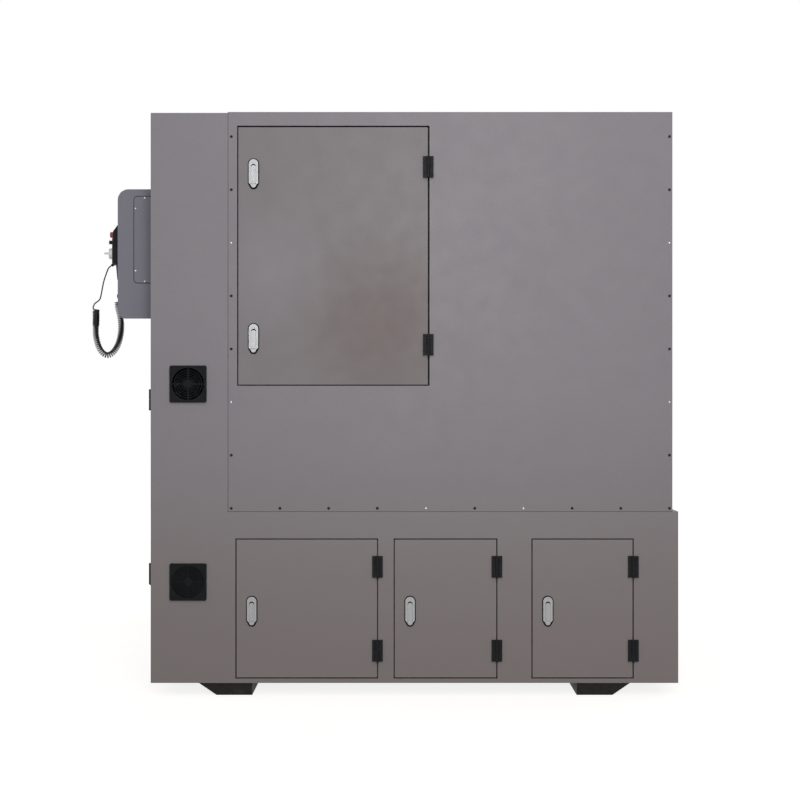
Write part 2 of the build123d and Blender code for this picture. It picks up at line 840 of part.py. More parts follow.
# Servo drives side by side on the partition, with the power supply under them
cabinet_middle = (partition_x + inside) / 2
drive_y = (partition_rear - drive_depth, partition_rear)
with BuildPart() as servo_drives:
    for i in range(drive_count):
        x = cabinet_middle + (i - (drive_count - 1) / 2) * drive_pitch
        block(about(x, drive_width), drive_y, span(drive_bottom, drive_height))
    fillet(servo_drives.edges().filter_by(Axis.Z).group_by(Axis.Y)[0], drive_edge)
    block(
        about(cabinet_middle, supply_width),
        (partition_rear - supply_depth, partition_rear),
        span(supply_bottom, supply_height),
    )
keep(servo_drives.part, "servo_drives")

# Control box: a bent shell with a larger cheek plate on its right end, open to the front skin at its back
shell_front = box_front + shell_inset
shell_v = (box_v[0] + shell_lift, box_v[1] - shell_inset)
face_v = (shell_v[0] + shell_corner, shell_v[1] - shell_corner)
with BuildPart() as control_box:
    with BuildSketch(Plane.YZ.offset(box_u[0])) as shell:
        rectangle((shell_front, front), shell_v)
        fillet(shell.vertices().group_by(Axis.X)[0], shell_corner)
    extrude(amount=box_width)
    with BuildSketch(Plane.YZ.offset(box_u[0] + cheek_thickness)) as hollow:
        rectangle((shell_front + box_wall, front), (shell_v[0] + box_wall, shell_v[1] - box_wall))
        fillet(hollow.vertices().group_by(Axis.X)[0], shell_corner - box_wall)
    extrude(amount=box_width - 2 * cheek_thickness, mode=Mode.SUBTRACT)
    with BuildSketch(Plane.YZ.offset(box_u[1] - cheek_thickness)) as cheek:
        rectangle((box_front, front), box_v)
        fillet(cheek.vertices().group_by(Axis.X)[0].sort_by(Axis.Y)[0], cheek_bottom_corner)
        fillet(cheek.vertices().group_by(Axis.X)[0].sort_by(Axis.Y)[-1], cheek_top_corner)
    extrude(amount=cheek_thickness)
    cut_y = (shell_front - overrun, shell_front + box_wall + overrun)
    cut_z = (face_v[0] + face_window_margin, face_v[1] - face_window_margin)
    block((box_u[0] + face_window_margin, box_u[1] - face_window_margin), cut_y, cut_z, Mode.SUBTRACT)
keep(control_box.part, "control_box")

with BuildPart() as control_side_cover:
    with BuildSketch(Plane.YZ.offset(box_side)):
        with Locations((sum(cover_y) / 2, sum(cover_v) / 2)):
            RectangleRounded(cover_depth, cover_height, cover_corner)
    extrude(amount=cover_thickness)
keep(control_side_cover.part, "control_side_cover")

# Operator face: plate with a screen rim, keys, the handset's bracket and the cord's elbow socket
operator = Plane.XZ.offset(-shell_front)
face_u = (box_u[0] + face_margin, box_u[1] - face_margin)
pulse_x = right - pulse_from_side
pulse_bottom = box_v[0] + pulse_over_box
socket_bottom = box_v[0] + socket_over_box
screen_u = span(face_u[0] + face_margin, screen_width)
screen_v = (face_v[1] - face_margin - screen_height, face_v[1] - face_margin)
with BuildPart() as control_face:
    slab(operator, face_u, face_v, (0, face_thickness))
    slab(operator, screen_u, screen_v, (face_thickness, face_thickness + screen_rim_height))
    screen_floor = (face_thickness, face_thickness + screen_rim_height + overrun)
    slab(operator, screen_u, screen_v, screen_floor, -screen_rim, Mode.SUBTRACT)
    with BuildSketch(operator.offset(face_thickness)):
        with Locations((sum(screen_u) / 2, face_v[0] + face_margin + key_rows * key_pitch / 2)):
            with GridLocations(key_pitch, key_pitch, key_columns, key_rows):
                Rectangle(key_size, key_size)
    extrude(amount=key_height)
    shelf_z = (pulse_bottom - shelf_thickness, pulse_bottom)
    slab(operator, about(pulse_x, shelf_width), shelf_z, (face_thickness, face_thickness + shelf_depth))
    wall_y = shell_front - face_thickness
    with BuildSketch(Plane.YZ.offset(pulse_x - gusset_thickness / 2)):
        with BuildLine():
            Polyline(
                (wall_y, shelf_z[0]),
                (wall_y - shelf_depth, shelf_z[0]),
                (wall_y - gusset_foot, shelf_z[0] - gusset_height),
                (wall_y, shelf_z[0] - gusset_height),
                close=True,
            )
        make_face()
    extrude(amount=gusset_thickness)
    socket_w = (face_thickness, face_thickness + socket_depth)
    slab(operator, about(pulse_x, socket_width), span(socket_bottom, socket_height), socket_w)
    socket_top = about(socket_bottom + socket_height, overrun)
    top_edges = control_face.edges().filter_by(Axis.X).filter_by_position(Axis.Z, *socket_top)
    fillet(top_edges.sort_by(Axis.Y)[0], socket_edge)
keep(control_face.part, "control_face")

# Hand pulse generator: a stepped body that stands on the bracket, with its cord gland
pulse_plane = Plane.YZ.offset(pulse_x - pulse_width / 2)
pulse_front = wall_y - pulse_depth
pulse_upper = wall_y - pulse_upper_depth
pulse_top = pulse_bottom + pulse_height
wheel_z = pulse_bottom + wheel_height
selector_z = pulse_bottom + selector_height
stop_z = pulse_bottom + stop_height
front_step = pulse_bottom + pulse_step_height
gland_direction = (0, -1, -gland_slope_share)
gland_axis = Plane((pulse_x, pulse_front + gland_radius, pulse_bottom + gland_radius), z_dir=gland_direction)
with BuildPart() as pulse_body:
    with BuildSketch(pulse_plane):
        with BuildLine():
            Polyline(
                (wall_y, pulse_bottom),
                (pulse_front, pulse_bottom),
                (pulse_front, front_step),
                (pulse_upper, front_step + pulse_step_rise),
                (pulse_upper, pulse_top - pulse_shoulder),
                (wall_y - pulse_top_depth, pulse_top - pulse_edge),
                (wall_y - pulse_top_depth, pulse_top),
                (wall_y, pulse_top),
                close=True,
            )
        make_face()
    extrude(amount=pulse_width)
    fillet(pulse_body.edges().filter_by(Axis.Z).group_by(Axis.Y)[0], pulse_edge)
    rod(gland_axis, gland_radius, gland_radius * math.sqrt(2) + gland_length)
    wheel_seat = Plane((pulse_x, pulse_front + wheel_shaft_depth, wheel_z), x_dir=(1, 0, 0), z_dir=(0, -1, 0))
    rod(wheel_seat, wheel_shaft_bore, wheel_shaft_depth + overrun, Mode.SUBTRACT)
    selector_seat = Plane((pulse_x, pulse_front + wheel_shaft_depth, selector_z), (1, 0, 0), (0, -1, 0))
    rod(selector_seat, wheel_shaft_bore, wheel_shaft_depth + overrun, Mode.SUBTRACT)
    stop_seat = Plane((pulse_x, pulse_upper + stop_stem_depth + stop_travel, stop_z), (1, 0, 0), (0, -1, 0))
    rod(stop_seat, stop_stem_bore, stop_stem_depth + stop_travel + overrun, Mode.SUBTRACT)
keep(pulse_body.part, "pulse_body")

# Handwheel with its crank, on a shaft in the body
with BuildPart(wheel_seat) as pulse_wheel:
    rod(wheel_seat.offset(wheel_clearance), wheel_shaft_radius, wheel_shaft_depth)
    rod(wheel_seat.offset(wheel_shaft_depth + wheel_clearance), wheel_radius, wheel_thickness)
    fillet(pulse_wheel.edges().filter_by(GeomType.CIRCLE).sort_by(Axis.Y)[0], wheel_rim_edge)
    rim_front = wheel_seat.offset(wheel_shaft_depth + wheel_clearance + wheel_thickness)
    crank_foot = Plane(rim_front.from_local_coords((crank_offset, 0, 0)), wheel_seat.x_dir, wheel_seat.z_dir)
    rod(crank_foot, crank_radius, crank_length)
keep(pulse_wheel.part, "pulse_wheel")

# Axis selector: a turned knob with a grip bar across it
with BuildPart(selector_seat) as pulse_selector:
    rod(selector_seat.offset(wheel_clearance), wheel_shaft_radius, wheel_shaft_depth)
    knob = selector_seat.offset(wheel_shaft_depth + wheel_clearance)
    rod(knob, selector_radius, selector_length - selector_pointer_depth)
    grip_w = (selector_length - selector_pointer_depth, selector_length)
    slab(knob, about(0, selector_grip_width), about(0, 2 * selector_radius), grip_w)
keep(pulse_selector.part, "pulse_selector")

# Stop button: a mushroom head on a stem, with room to be pressed in
with BuildPart(stop_seat) as pulse_stop:
    rod(stop_seat.offset(stop_travel + wheel_clearance), stop_stem_radius, stop_stem_depth + stop_travel)
    cap = stop_seat.offset(stop_stem_depth + 2 * stop_travel + wheel_clearance)
    rod(cap, stop_radius, stop_length)
    fillet(pulse_stop.edges().filter_by(GeomType.CIRCLE).sort_by(Axis.Y)[0], stop_edge)
keep(pulse_stop.part, "pulse_stop")

# Handset cord, from the handset's gland to the elbow socket
curl_end = Vector(pulse_x, wall_y - socket_depth + socket_width / 2, socket_bottom)
gland_end = gland_axis.from_local_coords((0, 0, gland_radius * math.sqrt(2) + gland_length))
lead_start = gland_end + gland_axis.z_dir * lead_out


def cord_tube(points, radius):
    """Round tube along straight runs joined by the largest tangent arcs that the runs allow."""
    radii = []
    for before, at, after in zip(points, points[1:], points[2:]):
        turn = math.radians((at - before).get_angle(after - at))
        radii.append(shorter_run_share * min((at - before).length, (after - at).length) / math.tan(turn / 2))
    print("cord arc radii", [round(value) for value in radii])
    with BuildPart() as tube:
        with BuildLine() as path:
            FilletPolyline(*points, radius=radii)
        with BuildSketch(Plane(points[0], z_dir=points[1] - points[0])):
            Circle(radius)
        sweep(path=path.line)
    run_length = path.wire().length
    volume_ratio = tube.part.volume / (math.pi * radius**2 * run_length)
    print("cord length", round(run_length), "volume ratio", round(volume_ratio, 6))
    return tube.part


box_edge = Vector(pulse_x, box_front, box_v[0])
lead_points = [gland_end, lead_start] + [box_edge + Vector(0, y, z) for y, z in lead_route]
keep(cord_tube(lead_points, lead_radius), "handset_lead")
curl_points = [lead_points[-1]] + [box_edge + Vector(0, y, z) for y, z in curl_route]
curl_points += [Vector(pulse_x, curl_end.Y, box_v[0] + curl_last_rise), curl_end]
keep(cord_tube(curl_points, curl_radius), "handset_curl")

# Cast bed with a channel for the screw, its end bearings and the two guide ways
portal_width = body_width - 2 * portal_from_side
bed_width = portal_width - 2 * (portal_leg + bed_from_leg)
bed_y = (front + bed_from_front, rear - bed_from_rear)
bed_length = bed_y[1] - bed_y[0]
bed_top = deck_top + bed_height
rail_x = bed_width / 2 - rail_from_edge
screw_z = bed_top - bed_channel_depth / 2
screw_ends = (bed_y[0] + screw_block_length, bed_y[1] - screw_block_length)
with BuildPart() as bed:
    block(about(0, bed_width), bed_y, (deck_top, bed_top))
    block(about(0, bed_channel_width), bed_y, (bed_top - bed_channel_depth, bed_top + overrun), Mode.SUBTRACT)
    for y in (span(bed_y[0], screw_block_length), span(screw_ends[1], screw_block_length)):
        block(about(0, screw_block), y, (bed_top - bed_channel_depth, screw_z + screw_block / 2))
    bearing = Plane((0, bed_y[1], screw_z), x_dir=(1, 0, 0), z_dir=(0, -1, 0))
    rod(bearing, screw_shaft_radius + screw_bore_clearance, bed_length, Mode.SUBTRACT)
    for hand in (-1, 1):
        block(about(hand * rail_x, rail_width), bed_y, span(bed_top, rail_height))
keep(bed.part, "bed")

with BuildPart() as y_ballscrew:
    rod(bearing.offset(motor_shaft_clearance), screw_shaft_radius, bed_length - motor_shaft_clearance)
keep(y_ballscrew.part, "y_ballscrew")

# Table with T-slots, carriages astride the guide ways and the screw's nut block
table_y = span(bed_y[0] + table_from_bed, table_length)
table_width = bed_width - 2 * table_from_edge
slot_pitch = (table_width - 2 * slot_from_edge) / (slot_count - 1)
carriage_top = bed_top + rail_height + carriage_lift
table_top = carriage_top + table_thickness
with BuildPart() as table:
    block(about(0, table_width), table_y, (carriage_top, table_top))
    for i in range(slot_count):
        x = (i - (slot_count - 1) / 2) * slot_pitch
        long_y = (table_y[0] - overrun, table_y[1] + overrun)
        block(about(x, slot_width), long_y, (table_top - slot_depth, table_top + overrun), Mode.SUBTRACT)
        block(about(x, slot_foot_width), long_y, span(table_top - slot_depth, slot_foot_depth), Mode.SUBTRACT)
    for hand in (-1, 1):
        for y in (span(table_y[0], carriage_length), span(table_y[1] - carriage_length, carriage_length)):
            block(about(hand * rail_x, carriage_width), y, (bed_top + carriage_lift, carriage_top))
            rail_cut = about(hand * rail_x, rail_width + 2 * carriage_clearance)
            block(rail_cut, y, (bed_top, bed_top + rail_height + carriage_clearance), Mode.SUBTRACT)
    nut_y = about(sum(table_y) / 2, carriage_length)
    block(about(0, screw_block), nut_y, (screw_z - screw_block / 2, carriage_top))
    nut_axis = Plane((0, nut_y[1], screw_z), x_dir=(1, 0, 0), z_dir=(0, -1, 0))
    rod(nut_axis, screw_shaft_radius + screw_bore_clearance, carriage_length, Mode.SUBTRACT)
keep(table.part, "table")

# Cast portal: two legs and a beam with the X guide ways and the X screw's bearings on its front
portal_front = bed_y[0] + portal_from_bed
portal_y = span(portal_front, portal_depth)
beam_z = span(portal_beam_bottom, portal_beam_height)
beam_middle = sum(beam_z) / 2
half_portal = portal_width / 2
x_rail_y = (portal_front - rail_height, portal_front)
x_screw_y = portal_front - (rail_height + carriage_lift) / 2
with BuildPart() as portal:
    block(about(0, portal_width), portal_y, beam_z)
    for hand in (-1, 1):
        leg_x = sorted((hand * half_portal, hand * (half_portal - portal_leg)))
        block(leg_x, portal_y, (deck_top, beam_z[0]))
        rail_z = about(beam_middle + hand * x_rail_spacing / 2, rail_width)
        block(about(0, portal_width - 2 * x_rail_inset), x_rail_y, rail_z)
        end_x = sorted((hand * half_portal, hand * (half_portal - screw_block_length)))
        block(end_x, (portal_front - screw_block, portal_front), about(beam_middle, screw_block))
    x_bearing = Plane((-half_portal, x_screw_y, beam_middle), x_dir=(0, 1, 0), z_dir=(1, 0, 0))
    rod(x_bearing, screw_shaft_radius + screw_bore_clearance, portal_width, Mode.SUBTRACT)
keep(portal.part, "portal")

with BuildPart() as x_ballscrew:
    rod(x_bearing, screw_shaft_radius, portal_width - motor_shaft_clearance)
keep(x_ballscrew.part, "x_ballscrew")

# X saddle: plate, carriages and nut behind it, Z guide ways and the Z motor's bracket in front
saddle_rear = portal_front - rail_height - carriage_lift
saddle_y = (saddle_rear - saddle_thickness, saddle_rear)
saddle_z = about(beam_middle, saddle_height)
saddle_x = about(0, saddle_width)
z_rail_y = (saddle_y[0] - rail_height, saddle_y[0])
z_screw_y = saddle_y[0] - (rail_height + carriage_lift) / 2
z_rail_z = span(saddle_z[0], z_rail_length)
z_screw_radius = (rail_height + carriage_lift) / 2 - 2 * carriage_clearance
with BuildPart() as x_saddle:
    block(saddle_x, saddle_y, saddle_z)
    block(about(0, z_rail_spacing + carriage_width), saddle_y, (saddle_z[1], z_rail_z[1]))
    for hand in (-1, 1):
        z = about(beam_middle + hand * x_rail_spacing / 2, carriage_width)
        block(saddle_x, (saddle_y[1], portal_front - carriage_lift), z)
        rail_cut = about(beam_middle + hand * x_rail_spacing / 2, rail_width + 2 * carriage_clearance)
        block(saddle_x, (x_rail_y[0] - carriage_clearance, portal_front), rail_cut, Mode.SUBTRACT)
        block(about(hand * z_rail_spacing / 2, rail_width), z_rail_y, z_rail_z)
    nut_z = about(beam_middle, screw_block)
    block(about(0, carriage_length), (saddle_y[1], portal_front - carriage_lift), nut_z)
    nut_start = Plane((-carriage_length / 2, x_screw_y, beam_middle), x_dir=(0, 1, 0), z_dir=(1, 0, 0))
    rod(nut_start, screw_shaft_radius + screw_bore_clearance, carriage_length, Mode.SUBTRACT)
    z_bracket = (z_rail_z[1], z_rail_z[1] + screw_block_length)
    block(about(0, z_rail_spacing + carriage_width), (saddle_y[0] - screw_block, saddle_y[1]), z_bracket)
    block(about(0, motor_size), about(z_screw_y, motor_size), span(z_bracket[1], motor_length))
    z_bearing = Plane((0, z_screw_y, saddle_z[0]))
    z_bore_length = z_bracket[1] - saddle_z[0] - motor_edge
    rod(z_bearing, z_screw_radius + carriage_clearance, z_bore_length, Mode.SUBTRACT)
keep(x_saddle.part, "x_saddle")

with BuildPart() as z_ballscrew:
    rod(z_bearing, z_screw_radius, z_bore_length - motor_shaft_clearance)
keep(z_ballscrew.part, "z_ballscrew")

# Z head: plate astride the Z guide ways with the spindle's clamp
head_rear = saddle_y[0] - rail_height - carriage_lift
head_y = (head_rear - head_thickness, head_rear)
head_z = (z_rail_z[1] - head_under_top - head_height, z_rail_z[1] - head_under_top)
clamp_z = span(head_z[0] + clamp_rise, clamp_height)
spindle_y = head_y[0] - clamp_depth / 2
with BuildPart() as z_head:
    block(about(0, head_width), head_y, head_z)
    for hand in (-1, 1):
        for start in (head_z[0] + head_carriage_rise, head_z[1] - carriage_length):
            z = span(start, carriage_length)
            x = about(hand * z_rail_spacing / 2, carriage_width)
            block(x, (head_y[1], saddle_y[0] - carriage_lift), z)
            rail_cut = about(hand * z_rail_spacing / 2, rail_width + 2 * carriage_clearance)
            block(rail_cut, (z_rail_y[0] - carriage_clearance, saddle_y[0]), z, Mode.SUBTRACT)
    block(about(0, clamp_width), (head_y[0] - clamp_depth, head_y[0]), clamp_z)
    spindle_axis = Plane((0, spindle_y, clamp_z[0]))
    rod(spindle_axis, spindle_radius + spindle_fit, clamp_height, Mode.SUBTRACT)
    nut_span = span(head_z[0] + head_carriage_rise, screw_block)
    block(about(0, 2 * screw_block_length), (head_y[1], saddle_y[0] - carriage_lift / 2), nut_span)
    nut_low = Plane((0, z_screw_y, nut_span[0]))
    rod(nut_low, z_screw_radius + carriage_clearance, screw_block, Mode.SUBTRACT)
keep(z_head.part, "z_head")

# Spindle cartridge in the clamp, and the turning spindle with its collet and tool
cartridge = Plane((0, spindle_y, head_z[0] - spindle_rise))
with BuildPart() as spindle_body:
    rod(cartridge, spindle_radius, spindle_length)
    rod(cartridge, nose_radius + nose_clearance, nose_seat, Mode.SUBTRACT)
    chamfer(spindle_body.edges().filter_by(GeomType.CIRCLE).sort_by(Axis.Z)[-1], motor_edge)
keep(spindle_body.part, "spindle_body")

with BuildPart() as spindle:
    rod(cartridge.offset(-nose_length), nose_radius, nose_length + nose_seat - nose_clearance)
    rod(cartridge.offset(-nose_length - collet_length), collet_radius, collet_length)
    chamfer(spindle.edges().filter_by(GeomType.CIRCLE).sort_by(Axis.Z)[0], collet_edge)
    rod(cartridge.offset(-nose_length - collet_length - tool_length), tool_radius, tool_length)
keep(spindle.part, "spindle")

# X and Y motors on the ends of the portal and the bed
with BuildPart() as axis_motors:
    block(about(0, motor_size), span(bed_y[1], motor_length), about(screw_z, motor_size))
    fillet(axis_motors.edges().filter_by(Axis.Y), motor_edge)
    block(span(half_portal, motor_length), about(x_screw_y, motor_size), about(beam_middle, motor_size))
    fillet(axis_motors.edges(Select.LAST).filter_by(Axis.X), motor_edge)
keep(axis_motors.part, "axis_motors")

# Coolant tank with its pump, behind the front bay's door
tank_y = (post_places[0] + post_size / 2 + tank_margin, post_places[1] - post_size / 2 - tank_margin)
tank_x = (right - service_set_in - tank_width, right - service_set_in)
tank_z = span(floor_top, tank_height)
with BuildPart() as coolant_tank:
    block(tank_x, tank_y, tank_z)
    fillet(coolant_tank.edges().filter_by(Axis.Z), tank_corner)
    pump_foot = Plane((sum(tank_x) / 2, tank_y[1] - pump_radius - tank_corner, tank_z[1]))
    rod(pump_foot, pump_radius, pump_height)
    fillet(coolant_tank.edges().filter_by(GeomType.CIRCLE).sort_by(Axis.Z)[-1], motor_edge)
keep(coolant_tank.part, "coolant_tank")

# Lubrication unit behind the middle bay's door
lube_y = about(sum(middle_bay_u) / 2, lube_depth)
lube_x = (right - service_set_in - lube_width, right - service_set_in)
with BuildPart() as lube_unit:
    block(lube_x, lube_y, span(floor_top, lube_height))
    fillet(lube_unit.edges().filter_by(Axis.Z), lube_corner)
    pump_y = span(lube_y[0], lube_pump_size)
    lube_top = floor_top + lube_height
    block(about(sum(lube_x) / 2, lube_pump_size), pump_y, span(lube_top, lube_pump_height))
    cap_foot = Plane((sum(lube_x) / 2, lube_y[1] - 2 * lube_cap_radius, lube_top))
    rod(cap_foot, lube_cap_radius, lube_cap_height)
keep(lube_unit.part, "lube_unit")
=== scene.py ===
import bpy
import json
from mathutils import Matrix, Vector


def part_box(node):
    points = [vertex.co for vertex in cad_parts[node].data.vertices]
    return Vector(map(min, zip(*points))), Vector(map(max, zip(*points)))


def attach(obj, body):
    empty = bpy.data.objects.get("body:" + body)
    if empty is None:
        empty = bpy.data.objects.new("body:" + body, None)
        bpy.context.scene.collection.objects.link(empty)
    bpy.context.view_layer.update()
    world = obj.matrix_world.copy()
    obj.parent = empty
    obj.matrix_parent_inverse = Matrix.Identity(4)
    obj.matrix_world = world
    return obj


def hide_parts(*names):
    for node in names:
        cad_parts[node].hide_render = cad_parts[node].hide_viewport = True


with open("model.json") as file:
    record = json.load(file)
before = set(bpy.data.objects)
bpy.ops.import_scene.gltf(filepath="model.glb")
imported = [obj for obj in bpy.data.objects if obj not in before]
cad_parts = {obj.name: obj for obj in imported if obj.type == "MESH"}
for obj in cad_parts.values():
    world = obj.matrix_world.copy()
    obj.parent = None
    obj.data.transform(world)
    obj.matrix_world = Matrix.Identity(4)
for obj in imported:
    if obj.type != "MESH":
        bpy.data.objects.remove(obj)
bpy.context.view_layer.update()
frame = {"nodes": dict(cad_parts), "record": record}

import json
import math

import bmesh
import bpy
import numpy as np

# Enclosed CNC milling machine. Metres, in the frame of the part's source: +Z up, the operator at -Y and
# the service doors on +X. Sizes in millimetres are written with MM.
MM = 0.001
nodes = frame["nodes"]
slot_of = {row["node"]: row["material_slot"] for row in frame["record"]["subparts"]}
side_doors = ("upper_door", "lower_front_door", "lower_middle_door", "lower_rear_door")
(_, front_skin, base_bottom), (right_skin, base_rear, column_top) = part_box("right_frame")
left_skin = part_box("left_side")[0][0]
upper_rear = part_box("right_panel")[1][1]
seam_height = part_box("right_panel")[0][2]


# Colours and nodes


def linear(hex_colour):
    """sRGB hex to linear RGBA: c / 12.92 up to 0.04045, else ((c + 0.055) / 1.055) ** 2.4."""
    srgb = np.array([int(hex_colour[i : i + 2], 16) for i in (1, 3, 5)]) / 255
    rgb = np.where(srgb <= 0.04045, srgb / 12.92, ((srgb + 0.055) / 1.055) ** 2.4)
    return (*rgb.tolist(), 1.0)


def add(tree, kind, links=None, **settings):
    """Add one node. A setting is a property of the node or the value of an input; links join inputs."""
    made = tree.nodes.new("ShaderNode" + kind)
    for name, value in settings.items():
        if hasattr(made, name):
            setattr(made, name, value)
        else:
            made.inputs[name.replace("_", " ")].default_value = value
    for name, source in (links or {}).items():
        tree.links.new(source, made.inputs[name])
    return made


def surface(
    name,
    colour,
    roughness,
    mottle=(),
    bumps=(),
    rough_spread=0.0,
    rough_size=20.0,
    painted_reflections=(),
    painted_shade=(),
    **shader,
):
    """A finish: a base colour, mottled by noise layers (hex, size in mm, low, high), with bump layers (size in
    mm, height in mm, stretch along x, y, z), a roughness that drifts by rough_spread, painted reflections
    (hex, place in m, reach in m), which are soft painted patches that fade out by 1 - distance / reach, and
    painted shade (hex, height in m where it starts, height where it is full)."""
    made = bpy.data.materials.new(name)
    made.use_nodes = True
    tree = made.node_tree
    tree.nodes.clear()
    where = add(tree, "TexCoord").outputs["Object"]
    tint = None
    masks = []
    for hex_colour, size, low, high in mottle:
        noise = add(tree, "TexNoise", {"Vector": where}, Scale=1000 / size, Detail=4.0)
        masks.append((hex_colour, noise.outputs["Fac"], low, high))
    # Painted reflections: soft patches of another colour round given places
    for hex_colour, place, reach in painted_reflections:
        centred = dict(vector_type="TEXTURE", Location=place, Scale=(reach,) * 3)
        moved = add(tree, "Mapping", {"Vector": where}, **centred)
        ball = add(tree, "TexGradient", {"Vector": moved.outputs["Vector"]}, gradient_type="SPHERICAL")
        masks.append((hex_colour, ball.outputs["Fac"], 0.0, 1.0))
    # Painted shade: another colour that comes in by height
    for hex_colour, start, full in painted_shade:
        height = add(tree, "SeparateXYZ", {"Vector": where}).outputs["Z"]
        masks.append((hex_colour, height, start, full))
    for hex_colour, strength, low, high in masks:
        limits = dict(interpolation_type="SMOOTHSTEP", From_Min=low, From_Max=high)
        mask = add(tree, "MapRange", {"Value": strength}, **limits)
        mix = add(tree, "Mix", {"Factor": mask.outputs["Result"]}, data_type="RGBA")
        mix.inputs[6].default_value = linear(colour)
        mix.inputs[7].default_value = linear(hex_colour)
        if tint is not None:
            tree.links.new(tint, mix.inputs[6])
        tint = mix.outputs[2]
    normal = None
    for size, height, stretch in bumps:
        stretched = add(tree, "Mapping", {"Vector": where}, Scale=stretch)
        noise = add(tree, "TexNoise", {"Vector": stretched.outputs["Vector"]}, Scale=1000 / size, Detail=2.0)
        links = {"Height": noise.outputs["Fac"]}
        if normal is not None:
            links["Normal"] = normal
        normal = add(tree, "Bump", links, Strength=1.0, Distance=height * MM).outputs["Normal"]
    body = add(tree, "BsdfPrincipled", Base_Color=linear(colour), Roughness=roughness, **shader)
    if tint is not None:
        tree.links.new(tint, body.inputs["Base Color"])
    if normal is not None:
        tree.links.new(normal, body.inputs["Normal"])
    if rough_spread:
        noise = add(tree, "TexNoise", {"Vector": where}, Scale=1000 / rough_size, Detail=3.0)
        limits = dict(To_Min=roughness - rough_spread, To_Max=roughness + rough_spread)
        drift = add(tree, "MapRange", {"Value": noise.outputs["Fac"]}, From_Min=0.3, From_Max=0.7, **limits)
        tree.links.new(drift.outputs["Result"], body.inputs["Roughness"])
    add(tree, "OutputMaterial", {"Surface": body.outputs["BSDF"]})
    return made


EVEN = (1.0, 1.0, 1.0)

# Painted shade: below about 1 m the paint turns a little darker and browner towards the floor, fully so at
# 0.15 m.
floor_painted_shade = [("#7E7776", 1.05, 0.15)]


def powder_coat(name, colour, cloud, fleck, painted_reflections=()):
    """Polyester powder coat on sheet steel: a dull satin, with the slight pebble of a cured coat (drawn at
    5 mm, coarser than life so that it shows), a faint shift of shade across a sheet and finer flecks."""
    shades = [(cloud, 620.0, 0.35, 0.7), (fleck, 5.0, 0.45, 0.75)]
    bumps = [(5.0, 0.05, EVEN), (260.0, 0.9, EVEN)]
    # Every powder coat gets this painted shade towards the floor, and any painted reflections given to it.
    return surface(name, colour, 0.52, shades, bumps, 0.05, 60.0, painted_reflections, floor_painted_shade, Specular_IOR_Level=0.35)


